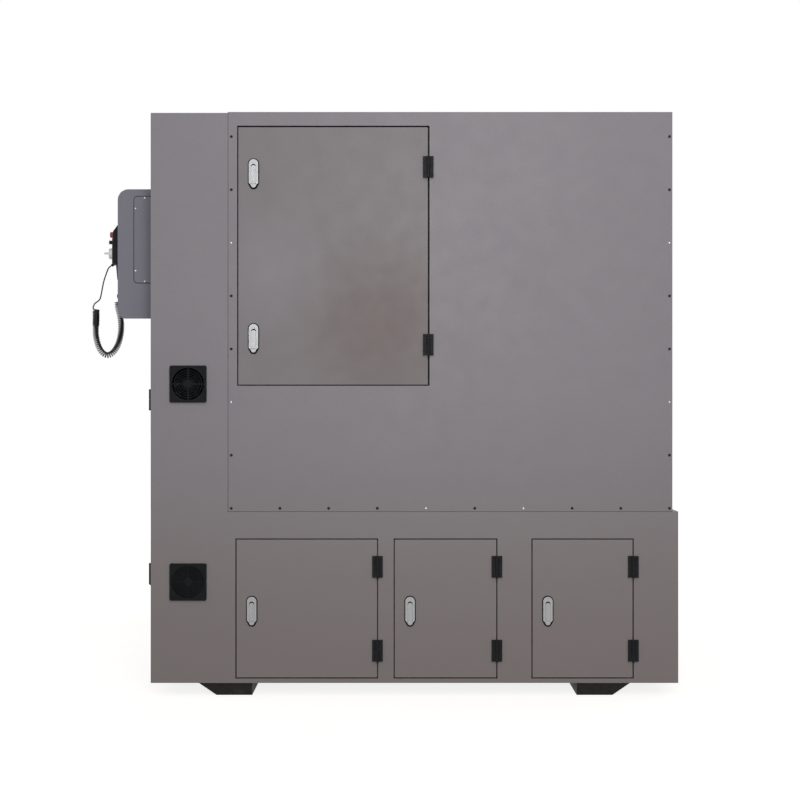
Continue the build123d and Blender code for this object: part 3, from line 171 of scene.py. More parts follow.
finishes = {
    "enclosure_paint": powder_coat("powder_coat_grey", "#848186", "#888489", "#7F7C80"),
    "box_paint": powder_coat("powder_coat_blue_grey", "#777681", "#7A7983", "#73727D"),
    # Air-drying chassis paint on welded plate: dark, rather flat, dusty in patches.
    "stand_paint": surface(
        "chassis_paint_dark_grey",
        "#3E3F41",
        0.55,
        [("#4A4A49", 120.0, 0.5, 0.75)],
        [(3.0, 0.06, EVEN)],
        0.08,
    ),
    # Brushed-on black bitumen paint on the skids, scuffed grey where the forks touch.
    "skid_paint": surface(
        "bitumen_black",
        "#211F1D",
        0.6,
        [("#3A3733", 45.0, 0.55, 0.75), ("#171615", 14.0, 0.5, 0.7)],
        [(9.0, 0.2, (0.3, 1.0, 1.0))],
        0.1,
        Specular_IOR_Level=0.15,
    ),
    # Glass-filled nylon hinges: black, finely grained by the mould, a soft grey sheen.
    "hinge_black": surface(
        "nylon_black_hinge",
        "#101114",
        0.55,
        [("#1A1B1F", 12.0, 0.45, 0.75)],
        [(1.5, 0.03, EVEN)],
        0.06,
        Specular_IOR_Level=0.15,
    ),
    # Die-cast zinc with a satin nickel plate: pale, nearly white under soft light.
    "lock_zinc": surface(
        "zinc_satin_nickel",
        "#98999B",
        0.36,
        [("#919395", 9.0, 0.45, 0.75)],
        [(1.2, 0.008, (1.0, 1.0, 0.15))],
        0.06,
        8.0,
        Metallic=0.85,
    ),
    # Black oxide steel screws: almost black, a dry oily sheen.
    "screw_black": surface(
        "steel_black_oxide",
        "#0F0F11",
        0.45,
        [("#1B1B1E", 3.0, 0.45, 0.7)],
        [],
        0.08,
        2.0,
        Metallic=0.1,
        Specular_IOR_Level=0.2,
    ),
    # Moulded ABS fan guards: black with a fine spark-eroded texture.
    "fan_plastic": surface(
        "abs_black_guard",
        "#0A0C0E",
        0.6,
        [("#101315", 10.0, 0.4, 0.7)],
        [(1.2, 0.03, EVEN)],
        0.06,
        Specular_IOR_Level=0.12,
    ),
    # Grey iron castings, painted pale grey: pebbled by the sand mould under the paint.
    "machine_iron": surface(
        "grey_iron_painted",
        "#B9BAB4",
        0.45,
        [("#C4C5C0", 150.0, 0.4, 0.7), ("#ABACA6", 40.0, 0.55, 0.8)],
        [(14.0, 0.25, EVEN), (4.0, 0.08, EVEN)],
        0.06,
    ),
    # Ground tool steel: bright, with fine grinding marks along Y, drawn at 1.5 mm so that they show.
    "ground_steel": surface(
        "tool_steel_ground",
        "#B4B3AF",
        0.34,
        [("#ADACA8", 30.0, 0.4, 0.7)],
        [(1.5, 0.01, (1.0, 0.06, 1.0))],
        0.04,
        Metallic=0.8,
    ),
    # Stoved black enamel on the servo motors.
    "motor_paint": surface(
        "stoved_enamel_black", "#1C1D1F", 0.36, [("#242528", 25.0, 0.4, 0.7)], [(2.0, 0.03, EVEN)], 0.05
    ),
    # Light grey flame-retardant ABS drive housings.
    "drive_plastic": surface(
        "abs_light_grey", "#BDBEB9", 0.5, [("#B2B3AE", 40.0, 0.45, 0.7)], [(1.5, 0.03, EVEN)], 0.05
    ),
    # Polyester membrane over the operator face: charcoal, very fine grain.
    "face_plastic": surface(
        "polyester_membrane_charcoal",
        "#2B2D31",
        0.42,
        [("#303237", 30.0, 0.4, 0.7)],
        [(1.2, 0.02, EVEN)],
        0.05,
    ),
    # Moulded ABS handset, black with a soft satin.
    "handset_plastic": surface(
        "abs_black_handset",
        "#131518",
        0.5,
        [("#191B1E", 9.0, 0.45, 0.7)],
        [(1.2, 0.03, EVEN)],
        0.06,
        Specular_IOR_Level=0.15,
    ),
    # Glossy red polycarbonate mushroom head.
    "stop_red": surface(
        "polycarbonate_red", "#A3122E", 0.22, [("#930F28", 6.0, 0.4, 0.7)], [], 0.04, 6.0, Coat_Weight=0.3
    ),
    # Turned and clear-anodised aluminium handwheel, with fine lathe rings drawn at 1 mm.
    "wheel_aluminium": surface(
        "aluminium_clear_anodised",
        "#BDBFBE",
        0.34,
        [("#ADB0B0", 6.0, 0.4, 0.7)],
        [(1.0, 0.01, (1.0, 0.2, 1.0))],
        0.06,
        5.0,
        Metallic=0.9,
    ),
    # Polyurethane jacket of the curly cord: black with a soft wet sheen.
    "cord_rubber": surface(
        "polyurethane_black_jacket",
        "#121316",
        0.4,
        [("#191A1E", 8.0, 0.45, 0.7)],
        [(1.0, 0.02, EVEN)],
        0.06,
        Specular_IOR_Level=0.3,
    ),
    # Folded stainless sheet tank: satin, rolled grain along Y.
    "tank_steel": surface(
        "stainless_satin",
        "#A9AAA8",
        0.36,
        [("#9C9D9B", 60.0, 0.4, 0.7)],
        [(2.0, 0.01, (1.0, 0.05, 1.0))],
        0.06,
        Metallic=0.9,
    ),
    # Natural polyethylene reservoir: milky, waxy, slightly translucent look.
    "lube_plastic": surface(
        "polyethylene_natural",
        "#D8D5C6",
        0.4,
        [("#CCC8B6", 40.0, 0.4, 0.7)],
        [(4.0, 0.05, EVEN)],
        0.05,
        Subsurface_Weight=0.1,
    ),
    # Laminated safety glass, tinted green-grey: a thin pane, so it is drawn with no refraction.
    "window_glass": surface(
        "safety_glass_tinted", "#8A9794", 0.05, [("#84918E", 200.0, 0.3, 0.7)], [], 0.02, 80.0, Alpha=0.3
    ),
}
# Extruded EPDM seals: dead black, no shine.
seal_rubber = surface(
    "epdm_black_seal",
    "#0B0B0C",
    0.75,
    [("#101011", 6.0, 0.4, 0.7)],
    [(1.5, 0.03, EVEN)],
    0.05,
    Specular_IOR_Level=0.1,
)
# Painted shade for the bolted panel's seams, drawn as a bead of joint sealant: mid grey, matt, tooled smooth.
seam_shade_bead = surface(
    "seam_shade_grey", "#575457", 0.7, [("#4F4C4F", 30.0, 0.4, 0.7)], [(6.0, 0.05, EVEN)], 0.05
)
# Zinc-plated steel screws: pale, slightly blue.
screw_zinc = surface(
    "steel_zinc_plated", "#D8DADC", 0.3, [("#C4C6C9", 2.0, 0.4, 0.7)], [], 0.06, 2.0, Metallic=0.8
)
# Display glass over a dark panel: black and glossy.
display_glass = surface(
    "display_glass_dark", "#0D1116", 0.08, [("#10151B", 60.0, 0.4, 0.7)], [], 0.02, 50.0, Coat_Weight=0.5
)


def silicone_key(name, colour, shade):
    """Moulded silicone key cap: matt, softly domed, a little uneven in shade."""
    return surface(name, colour, 0.6, [(shade, 5.0, 0.4, 0.7)], [(1.0, 0.02, EVEN)], 0.05)


key_grey = silicone_key("silicone_key_grey", "#B7B9B8", "#AFB1B0")
key_green = silicone_key("silicone_key_green", "#3D7C4A", "#376F43")
key_red = silicone_key("silicone_key_red", "#9A2B2B", "#8B2626")

# The upper door carries painted reflections: a dark brownish patch low on its hinge side and a lighter one
# higher up towards the front.
door_painted_reflections = [("#716867", (0.8, -0.12, 1.26), 0.42), ("#847F83", (0.8, -0.5, 1.45), 0.3)]
upper_door_paint = powder_coat("powder_coat_grey_painted_reflections", "#7C787A", "#807B7E", "#777376", door_painted_reflections)

for name, node in nodes.items():
    node.data.materials.clear()
    node.data.materials.append(upper_door_paint if name == "upper_door" else finishes[slot_of[name]])


# Surfaces


def grid_faces(rows, columns, wrap_rows, wrap_columns, first):
    """Quads of a grid: cell (i, j) joins (i, j), (i + 1, j), (i + 1, j + 1) and (i, j + 1), and the last
    row or column joins the first where the grid wraps."""
    counts = (rows - 1 + wrap_rows, columns - 1 + wrap_columns)
    i, j = np.meshgrid(np.arange(counts[0]), np.arange(counts[1]), indexing="ij")
    down, along = (i + 1) % rows, (j + 1) % columns
    quads = (i * columns + j, down * columns + j, down * columns + along, i * columns + along)
    return np.stack(quads, -1).reshape(-1, 4) + first


# Points nearer than this are one point, and edges shorter than this are taken out
same_point, no_edge = 1e-6, 1e-7


def make_piece(name, grids, material, body, crease=35):
    """One mesh of several grids, each (points[rows, columns, xyz], wrap rows, wrap columns), with doubles
    merged and faces turned outwards, that rides on a body."""
    points, quads, first = [], [], 0
    for grid, wrap_rows, wrap_columns in grids:
        rows, columns = grid.shape[:2]
        points.append(grid.reshape(-1, 3))
        quads.append(grid_faces(rows, columns, wrap_rows, wrap_columns, first))
        first += rows * columns
    mesh = bpy.data.meshes.new(name)
    mesh.from_pydata(np.concatenate(points).tolist(), [], np.concatenate(quads).tolist())
    work = bmesh.new()
    work.from_mesh(mesh)
    bmesh.ops.remove_doubles(work, verts=work.verts, dist=same_point)
    bmesh.ops.dissolve_degenerate(work, edges=work.edges, dist=no_edge)
    bmesh.ops.recalc_face_normals(work, faces=work.faces)
    work.to_mesh(mesh)
    work.free()
    mesh.shade_smooth()
    mesh.set_sharp_from_angle(angle=math.radians(crease))
    mesh.materials.append(material)
    piece = bpy.data.objects.new(name, mesh)
    bpy.context.scene.collection.objects.link(piece)
    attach(piece, body)
    return piece


def turned(profile, centre, axis, segments=24):
    """Surface of revolution. Row (r, h, sides) goes to centre + h axis + r (cos a, sin a); where sides is
    not 0, r is shortened to the flats of that polygon: r cos(pi/n) / cos((a mod 2pi/n) - pi/n)."""
    rows = np.asarray(profile, float)
    axis = np.asarray(axis, float)
    across = np.cross(axis, (0.0, 0.0, 1.0) if abs(axis[2]) < 0.9 else (1.0, 0.0, 0.0))
    up = np.cross(axis, across)
    angle = 2 * np.pi * np.arange(segments) / segments
    sides = np.maximum(rows[:, 2:3], 1)
    flat = np.cos(np.pi / sides) / np.cos(np.mod(angle[None], 2 * np.pi / sides) - np.pi / sides)
    radius = rows[:, 0:1] * np.where(rows[:, 2:3] > 0, flat, 1.0)
    ring = np.cos(angle)[None, :, None] * across + np.sin(angle)[None, :, None] * up
    points = np.asarray(centre) + rows[:, 1, None, None] * axis + radius[..., None] * ring
    return points, False, True


def skin(origin, along, up, out):
    """Place on a flat skin: (u, v, w) goes to origin + u along + v up + w out."""
    axes = np.array((along, up, out), float)

    def place(u, v, w):
        return np.array(origin) + np.stack(np.broadcast_arrays(u, v, w), -1) @ axes

    return place


X, Y, Z = np.eye(3)
on_right = skin((right_skin, 0, 0), Y, Z, X)
on_left = skin((left_skin, 0, 0), Y, Z, -X)
on_front = skin((0, front_skin, 0), X, Z, -Y)
on_upper_rear = skin((0, upper_rear, 0), X, Z, Y)
on_base_rear = skin((0, base_rear, 0), X, Z, Y)
on_roof = skin((0, 0, column_top), X, Y, Z)


def framed(place, u, v, profile, corner, steps=6):
    """Profile carried round a rectangle with round corners, of one radius or four. A profile row (inset, out)
    lies on each corner's arc at centre + (corner - inset) (cos a, sin a), raised by out; straight sides join
    the arcs."""
    profile = np.asarray(profile, float)
    corners = np.broadcast_to(corner, 4)
    quarter = np.linspace(0, np.pi / 2, steps)
    angle = np.concatenate([quarter + k * np.pi / 2 for k in range(4)])
    middle_u = np.repeat(np.array([u[1], u[0], u[0], u[1]]) + corners * (-1, 1, 1, -1), steps)
    middle_v = np.repeat(np.array([v[1], v[1], v[0], v[0]]) + corners * (-1, -1, 1, 1), steps)
    reach = np.repeat(corners, steps)[:, None] - profile[None, :, 0]
    along_u = middle_u[:, None] + reach * np.cos(angle)[:, None]
    along_v = middle_v[:, None] + reach * np.sin(angle)[:, None]
    return place(along_u, along_v, profile[None, :, 1]), True, True


def tile(place, u, v, profile, corner, steps=4):
    """Closed pad: the frame of a profile, its first and last rows drawn in to points at the middle."""
    ring = framed(place, u, v, profile, corner, steps)[0]
    middle = place(sum(u) / 2, sum(v) / 2, np.array([profile[0][1], profile[-1][1]]))
    caps = np.broadcast_to(middle[None], (len(ring), 2, 3))
    return np.concatenate([caps[:, :1], ring, caps[:, 1:]], axis=1), True, False


def spans(name, across=1):
    """A node's limits along Y (or X, for across 0) and up."""
    low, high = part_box(name)
    return (low[across], high[across]), (low[2], high[2])


def grown(limits, by):
    """Limits moved out at both ends."""
    return (limits[0] - by, limits[1] + by)


# Handset cord. The route repeats the part's points: a plain lead from the gland, then the curly part, which
# winds round the route from where the two solids meet to the elbow socket.
cord_plane = 580 * MM
lead_points = [(-1084.4, 1490.3), (-1095.1, 1484.9), (-1103.5, 1462), (-1112.5, 1436), (-1118, 1409.5)]
lead_points += [(-1123, 1380), (-1130.5, 1357), (-1140.5, 1343), (-1140.5, 1331)]
curl_points = [(-1140.5, 1290), (-1142, 1255), (-1140, 1228), (-1130, 1194), (-1117, 1176), (-1103.5, 1167)]
curl_points += [(-1086, 1171), (-1071, 1188), (-1060, 1210), (-1053, 1235), (-1049.5, 1266), (-1051, 1293)]
curl_points += [(-1057, 1323), (-1061, 1350), (-1057, 1374)]
cord_diameter = 4.8 * MM
tight_radius, loose_radius = 10.2 * MM, 8.9 * MM
tight_pitch, loose_pitch = 5.1 * MM, 7.0 * MM
tight_length, loosening = 66 * MM, 14 * MM
approach, entry, settle = 30 * MM, 16 * MM, 70 * MM
curl_start = 1346 * MM
lead_samples, curl_samples, cord_sides = 90, 1500, 10
cord_crease = 80
nearly_all = 0.999


def sampled_route(points):
    """Points read from the route's NURBS line, as Blender gives them for a curve with no bevel."""
    curve = bpy.data.curves.new("route", "CURVE")
    curve.dimensions = "3D"
    curve.resolution_u = 40
    line = curve.splines.new("NURBS")
    line.points.add(len(points) - 1)
    for point, (y, z) in zip(line.points, points):
        point.co = (cord_plane, y * MM, z * MM, 1.0)
    line.order_u = 3
    line.use_endpoint_u = True
    holder = bpy.data.objects.new("route", curve)
    mesh = bpy.data.meshes.new_from_object(holder)
    found = np.empty(len(mesh.vertices) * 3)
    mesh.vertices.foreach_get("co", found)
    bpy.data.objects.remove(holder)
    bpy.data.curves.remove(curve)
    bpy.data.meshes.remove(mesh)
    return found.reshape(-1, 3)


def smooth_step(x):
    """0 below 0, 1 above 1, and 3x^2 - 2x^3 between."""
    x = np.clip(x, 0, 1)
    return x * x * (3 - 2 * x)


def handset_cord():
    """Tube round the line c(s) + R(s) (cos f(s) n + sin f(s) b): c is the route, n and b its normals. The
    line first moves out to the winding radius R, then turns into the winding along a quarter circle of radius
    e, f' = s / (R sqrt(e^2 - s^2)), up to f' = 2 pi / pitch, tight and wide at first, then looser. Over its
    last stretch it drifts aside, so that the winding ends in the middle of the socket."""
    route = sampled_route(lead_points + curl_points)
    steps = np.linalg.norm(np.diff(route, axis=0), axis=1)
    length = np.concatenate([[0], np.cumsum(steps)])
    start = length[np.argmax(route[:, 2] < curl_start)]
    lead = np.linspace(0, start, lead_samples, endpoint=False)
    fine = np.concatenate([lead, np.linspace(start, length[-1], curl_samples)])
    centre = np.stack([np.interp(fine, length, route[:, k]) for k in range(3)], -1)
    tangent = np.gradient(centre, fine, axis=0)
    tangent /= np.linalg.norm(tangent, axis=1, keepdims=True)
    beside = np.array([1.0, 0.0, 0.0])
    normal = np.cross(tangent, beside)
    loosen = smooth_step((fine - start - tight_length) / loosening)
    reach = tight_radius + (loose_radius - tight_radius) * loosen
    reach *= smooth_step((fine - start + approach) / approach)
    pitch = tight_pitch + (loose_pitch - tight_pitch) * loosen
    from_ends = np.minimum(fine - start, length[-1] - fine)
    run = np.clip(from_ends, 0, nearly_all * entry)
    rate = np.minimum(2 * np.pi / pitch, run / np.sqrt(entry**2 - run**2) / loose_radius)
    phase = np.concatenate([[0], np.cumsum((rate[1:] + rate[:-1]) / 2 * np.diff(fine))])
    outward = np.cos(phase)[:, None] * normal + np.sin(phase)[:, None] * beside
    line = centre + reach[:, None] * outward
    line += smooth_step((fine - length[-1] + settle) / settle)[:, None] * (centre[-1] - line[-1])
    along = np.gradient(line, axis=0)
    along /= np.linalg.norm(along, axis=1, keepdims=True)
    first = outward - np.sum(outward * along, axis=1, keepdims=True) * along
    first /= np.linalg.norm(first, axis=1, keepdims=True)
    second = np.cross(along, first)
    angle = 2 * np.pi * np.arange(cord_sides) / cord_sides
    ring = np.cos(angle)[None, :, None] * first[:, None] + np.sin(angle)[None, :, None] * second[:, None]
    tube = line[:, None] + cord_diameter / 2 * ring
    caps = [np.broadcast_to(line[end], (1, cord_sides, 3)) for end in (0, -1)]
    tube = np.concatenate([caps[0], tube, caps[1]])
    total = float(np.sum(np.linalg.norm(np.diff(line, axis=0), axis=1)))
    return tube, line, total


tube, cord_line, cord_length = handset_cord()
tube_grid = (tube, False, True)
cord = make_piece("handset_cord", [tube_grid], finishes["cord_rubber"], "root", cord_crease)
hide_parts("handset_lead", "handset_curl")

# Service doors: the plane, the door's limits, its locks and its hinges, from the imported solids. Heights on a
# lock are from its middle.
door_gap, seal_corner = 4 * MM, 3 * MM
lock_height, hinge_height = 97 * MM, 73 * MM
seal_profile = np.array([(0, -22), (1.4, -22), (1.6, -6), (1.3, -4), (0.6, -3), (0, -3)]) * MM
button_head = [(0, 0, 0), (3.0, 0, 0), (3.0, 0.3, 0), (2.75, 0.8, 0), (2.2, 1.2, 0), (1.6, 1.4, 0)]
button_head += [(1.5, 1.4, 6), (1.45, 0.5, 6), (0, 0.45, 0)]
button_head = np.array(button_head) * (MM, MM, 1)
head_sides = 18
leaf_face, leaf_middle, leaf_screw = 6 * MM, 12.6 * MM, 22 * MM
half_lock, lock_round, lock_shoulder = 16 * MM, 32.5 * MM, -32.5 * MM
tip_radius, tip_height = 11 * MM, -39.5 * MM
slot_half, slot_low, slot_high = 8.5 * MM, -39 * MM, 32.5 * MM
cap_half, cap_low, cap_high = 8.8 * MM, -47.6 * MM, -36.2 * MM


def lock_rim(place, u, v, profile):
    """Profile (d, out) carried round a lock: the point whose normal is at angle a lies at c + (r + d) times
    (cos a, sin a), where c and r are those of the round top, the two sharp shoulders or the round tip."""
    lean = np.arccos(tip_radius / np.hypot(half_lock, lock_shoulder - tip_height))
    lean -= np.arctan2(lock_shoulder - tip_height, half_lock)
    top = np.linspace(0, np.pi, 17)
    left = np.linspace(np.pi, np.pi + lean, 4)
    tip = np.linspace(np.pi + lean, 2 * np.pi - lean, 15)
    right = np.linspace(2 * np.pi - lean, 2 * np.pi, 4)
    angle = np.concatenate([top, left, tip, right])
    counts = [len(top), len(left), len(tip), len(right)]
    centre_u = np.repeat([0, -half_lock, 0, half_lock], counts)[:, None]
    centre_v = np.repeat([lock_round, lock_shoulder, tip_height, lock_shoulder], counts)[:, None]
    reach = np.repeat([half_lock, 0, tip_radius, 0], counts)[:, None] + profile[None, :, 0]
    along_u = u + centre_u + reach * np.cos(angle)[:, None]
    along_v = v + centre_v + reach * np.sin(angle)[:, None]
    return place(along_u, along_v, profile[None, :, 1]), True, True


rim_profile = np.array([(-3.6, 0), (3.4, 0), (3.4, 1.2), (2.7, 2.0), (-3.6, 2.2)]) * MM
# Black plate on the floor of each lock's slot, which is painted shade
slot_shade_profile = np.array([(0.3, -8.9), (0.3, -8.4), (8.2, -8.2)]) * MM
# Cap over the lower half of each lever's pivot, square above and round below like the lock's tip
cap_profile = np.array([(0, 4.0), (0, 4.6), (0.4, 5.0), (0.8, 5.1), (1.1, 5.1)]) * MM
cap_corners = np.array([1.2, 1.2, 8.4, 8.4]) * MM
frame_heads = []
for door in side_doors + ("cabinet_door",):
    place, across, out = (on_front, 0, -Y) if door == "cabinet_door" else (on_right, 1, X)
    u, v = spans(door, across)
    # Black rubber strips on the frame's rebate walls, which make the dark lines round the doors
    ring = framed(place, grown(u, door_gap), grown(v, door_gap), seal_profile, seal_corner)
    make_piece(f"{door}_seal", [ring], seal_rubber, "root")
    # Rubber gasket under each lock, whose black rim also stands in for the shade round the lock, and painted
    # shade in its slot: a black plate on the slot's floor
    lock_u, lock_v = spans(f"{door}_lock", across)
    lock_middle = sum(lock_u) / 2
    centres = sorted({round(z, 5) for z in grown(lock_v, -lock_height / 2)})
    gaskets_and_shade = [lock_rim(place, lock_middle, centre, rim_profile) for centre in centres]
    make_piece(f"{door}_lock_gaskets_and_shade", gaskets_and_shade, seal_rubber, door)
    slot_u = grown((lock_middle, lock_middle), slot_half)
    slots = [(centre + slot_low, centre + slot_high) for centre in centres]
    slot_shades = [tile(place, slot_u, slot_v, slot_shade_profile, slot_half, 6) for slot_v in slots]
    make_piece(f"{door}_lock_slot_shades", slot_shades, seal_rubber, door)
    cap_u = grown((lock_middle, lock_middle), cap_half)
    pivots = [(centre + cap_low, centre + cap_high) for centre in centres]
    caps = [tile(place, cap_u, cap_v, cap_profile, cap_corners, 8) for cap_v in pivots]
    make_piece(f"{door}_lock_caps", caps, finishes["lock_zinc"], door)
    # Screw heads on both leaves of each hinge
    hinge_v = spans(f"{door}_hinge_leaves", across)[1]
    door_heads = []
    for middle in grown(hinge_v, -hinge_height / 2):
        for height in grown((middle, middle), leaf_screw):
            for heads, hand in ((door_heads, -1), (frame_heads, 1)):
                spot = place(u[1] + door_gap / 2 + hand * leaf_middle, height, leaf_face)
                heads.append(turned(button_head, spot, out, head_sides))
    make_piece(f"{door}_hinge_screws", door_heads, finishes["screw_black"], door)
make_piece("frame_hinge_screws", frame_heads, finishes["screw_black"], "root")

# Painted shade: thin black strips on the frame, over the upper door and along its hinges, which make those
# lines heavier
shade_strip_profile = np.array([(0, -0.5), (0, 0.1), (0.2, 0.3), (0.5, 0.35)]) * MM
shade_over_door, shade_by_hinges, shade_strip_corner = 1.3 * MM, 2.4 * MM, 0.6 * MM
opening_u, opening_v = (grown(limits, door_gap) for limits in spans("upper_door"))
painted_shade_strips = [(opening_u, (opening_v[1], opening_v[1] + shade_over_door))]
painted_shade_strips.append(((opening_u[1], opening_u[1] + shade_by_hinges), opening_v))
strips = [tile(on_right, u, v, shade_strip_profile, shade_strip_corner, 3) for u, v in painted_shade_strips]
make_piece("upper_door_painted_shade_strips", strips, seal_rubber, "root")

# Screws: socket button heads round the bolted panel and on the control box's cover
screw_inset, screw_under_top = 10 * MM, 84 * MM
panel_y, panel_z = spans("right_panel")
rows = np.linspace(panel_z[1] - screw_under_top, panel_z[0] + screw_inset, 8)
columns = np.linspace(panel_y[0] + screw_inset, panel_y[1] - screw_inset, 10)
light_rows, light_columns = (2, 5), (4, 6)
dark_heads, light_heads = [], []
wider, taller = 1.6, 1.3
panel_head = button_head * (wider, taller, 1)
for column in (columns[0], columns[-1]):
    for index, row in enumerate(rows):
        heads, head = (light_heads, button_head) if index in light_rows else (dark_heads, panel_head)
        heads.append(turned(head, on_right(column, row, 0), X))
for index, column in enumerate(columns[1:-1], 1):
    heads, head = (light_heads, button_head) if index in light_columns else (dark_heads, panel_head)
    heads.append(turned(head, on_right(column, rows[-1], 0), X))
cover_u, cover_v = spans("control_side_cover")
on_cover = skin((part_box("control_side_cover")[1][0], 0, 0), Y, Z, X)
cover_inset, cover_corner = 4.5 * MM, 42 * MM
cover_spots = [(u, v) for u in grown(cover_u, -cover_inset) for v in grown(cover_v, -cover_corner)]
cover_spots += [(sum(cover_u) / 2, v) for v in grown(cover_v, -cover_inset)]
light_heads += [turned(button_head, on_cover(u, v, 0), X) for u, v in cover_spots]
panel_screws = make_piece("panel_screw_heads", dark_heads, finishes["screw_black"], "root")
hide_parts("panel_screws")
make_piece("panel_screw_heads_zinc", light_heads, screw_zinc, "root")

# Painted shade in the seam in front of the bolted panel and below it, drawn as a grey sealant bead
seam_gap, shade_bead_corner = 2 * MM, 0.9 * MM
shade_bead_profile = np.array([(0.05, -3.0), (0.05, -0.5), (0.4, -0.25), (0.8, -0.2)]) * MM
seam_y, seam_z = (panel_y[0] - seam_gap, panel_y[0]), (panel_z[0] - seam_gap, panel_z[0])
seams = [(seam_y, (seam_z[0], panel_z[1])), (panel_y, seam_z)]
strips = [tile(on_right, u, v, shade_bead_profile, shade_bead_corner, 3) for u, v in seams]
make_piece("panel_seam_shade_bead", strips, seam_shade_bead, "root")


def button_heads(place, across, up, axis, out=0.0):
    """Button heads on a skin, one for each pair of a place across and a place up, raised by out."""
    spots = [(u, v) for u in np.atleast_1d(across) for v in np.atleast_1d(up)]
    return [turned(button_head, place(u, v, out), axis, head_sides) for u, v in spots]


# Screw heads along the edges of the left, rear and roof sheets, which the photograph doesn't show
edge, seam_clear = 14 * MM, 60 * MM
tall = np.linspace(base_bottom + edge, column_top - edge, 9)
upper = np.linspace(seam_height + seam_clear, column_top - edge, 6)
low = np.linspace(base_bottom + edge, seam_height - seam_clear, 3)
wide = np.linspace(left_skin + edge, right_skin - edge, 8)
long = np.linspace(front_skin + edge, upper_rear - edge, 8)
sheet_heads = button_heads(on_left, long[0], tall, -X)
sheet_heads += button_heads(on_left, long[-1], upper, -X)
sheet_heads += button_heads(on_left, long[1:-1], tall[[0, -1]], -X)
sheet_heads += button_heads(on_upper_rear, wide[[0, -1]], upper, Y)
sheet_heads += button_heads(on_upper_rear, wide[1:-1], upper[-1], Y)
sheet_heads += button_heads(on_base_rear, wide[[0, -1]], low, Y)
sheet_heads += button_heads(on_base_rear, wide[1:-1], low[0], Y)
sheet_heads += button_heads(on_roof, wide[[0, -1]], long, Z)
sheet_heads += button_heads(on_roof, wide[1:-1], long[[0, -1]], Z)
make_piece("sheet_screw_heads", sheet_heads, finishes["screw_black"], "root")

# Bolted access plate on the left, and on the rear a cable gland plate and pressed louvres, all guessed
plate_profile = np.array([(0, -0.5), (0, 1.1), (0.4, 1.5), (1.0, 1.5)]) * MM
plate_top, plate_corner, gland_corner = 1.5 * MM, 3 * MM, 6 * MM
plate_from_front, plate_from_rear = 280 * MM, 40 * MM
plate_over_seam, plate_under_roof = 10 * MM, 40 * MM
plate_u = (front_skin + plate_from_front, upper_rear - plate_from_rear)
plate_v = (seam_height + plate_over_seam, column_top - plate_under_roof)
access_plate = tile(on_left, plate_u, plate_v, plate_profile, plate_corner)
make_piece("left_access_plate", [access_plate], finishes["enclosure_paint"], "root")
gland_middle, gland_pitch, gland_margin = 500 * MM, 60 * MM, 60 * MM
gland_u = grown((gland_middle, gland_middle), gland_pitch + gland_margin)
gland_v = (seam_height + seam_clear, seam_height + seam_clear + 2 * gland_margin)
gland_plate = tile(on_upper_rear, gland_u, gland_v, plate_profile, gland_corner)
make_piece("gland_plate", [gland_plate], finishes["enclosure_paint"], "root")
screw_u, screw_v = grown(plate_u, -edge), grown(plate_v, -edge)
plate_heads = button_heads(on_left, screw_u, np.linspace(*screw_v, 6), -X, plate_top)
plate_heads += button_heads(on_left, np.linspace(*screw_u, 7)[1:-1], screw_v, -X, plate_top)
plate_heads += button_heads(on_upper_rear, grown(gland_u, -edge), grown(gland_v, -edge), Y, plate_top)
make_piece("plate_screw_heads", plate_heads, finishes["screw_black"], "root")
# Each gland: a six-sided nut, a round collar and a blanking plug with a soft edge
gland = [(0, 0, 0), (17, 0, 6), (17, 7, 6), (16, 8, 6), (13.5, 8, 0), (13.5, 15, 0), (12, 18, 0), (8, 19, 0)]
gland = np.array(gland + [(0, 19, 0)]) * (MM, MM, 1)
gland_sides = 36
gland_x = gland_middle + gland_pitch * np.array([-1, 0, 1])
glands = [turned(gland, on_upper_rear(x, sum(gland_v) / 2, plate_top), Y, gland_sides) for x in gland_x]
make_piece("cable_glands", glands, finishes["hinge_black"], "root")


# Depth by which a pressed piece is let into its sheet
sheet_bite = 0.5 * MM


def louvre(place, u, v, height, steps=15):
    """Pressed louvre: a share s along and t down from its upper edge it stands out by height t^0.8 times
    sqrt(1 - (2s - 1)^4), and its lip drops straight back to the sheet."""
    s = np.linspace(0, 1, steps)[:, None]
    t = np.array([0, 0.15, 0.35, 0.6, 0.85, 1.0, 1.0, 0.0])[None]
    rise = np.array([1, 1, 1, 1, 1, 1, 0, 0])[None]
    out = height * rise * t**0.8 * np.sqrt(1 - (2 * s - 1) ** 4) - sheet_bite * (1 - rise)
    ring = place(u[0] + (u[1] - u[0]) * s, v[1] - (v[1] - v[0]) * t, out)
    ends = [np.broadcast_to(ring[end].mean(axis=0), (1, ring.shape[1], 3)) for end in (0, -1)]
    return np.concatenate([ends[0], ring, ends[1]]), False, True


louvre_middle, louvre_half, louvre_height, louvre_pitch = 360 * MM, 130 * MM, 18 * MM, 34 * MM
louvre_under_roof, louvre_rise, louvre_count = 150 * MM, 7 * MM, 10
louvres = []
for middle in (-louvre_middle, louvre_middle):
    for step in range(louvre_count):
        top = column_top - louvre_under_roof - louvre_pitch * step
        louvre_u = grown((middle, middle), louvre_half)
        louvres.append(louvre(on_upper_rear, louvre_u, (top - louvre_height, top), louvre_rise))
make_piece("rear_louvres", louvres, finishes["enclosure_paint"], "root")

# Rubber line round the control box's side cover
on_box = skin((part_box("control_box")[1][0], 0, 0), Y, Z, X)
line_width, cover_round = 2.2 * MM, 11 * MM
line_profile = np.array([(0, 0), (0, 0.7), (2.0, 1.0), (2.2, 0)]) * MM
line_u, line_v = grown(cover_u, line_width), grown(cover_v, line_width)
ring = framed(on_box, line_u, line_v, line_profile, cover_round + line_width)
make_piece("cover_seal", [ring], seal_rubber, "root")

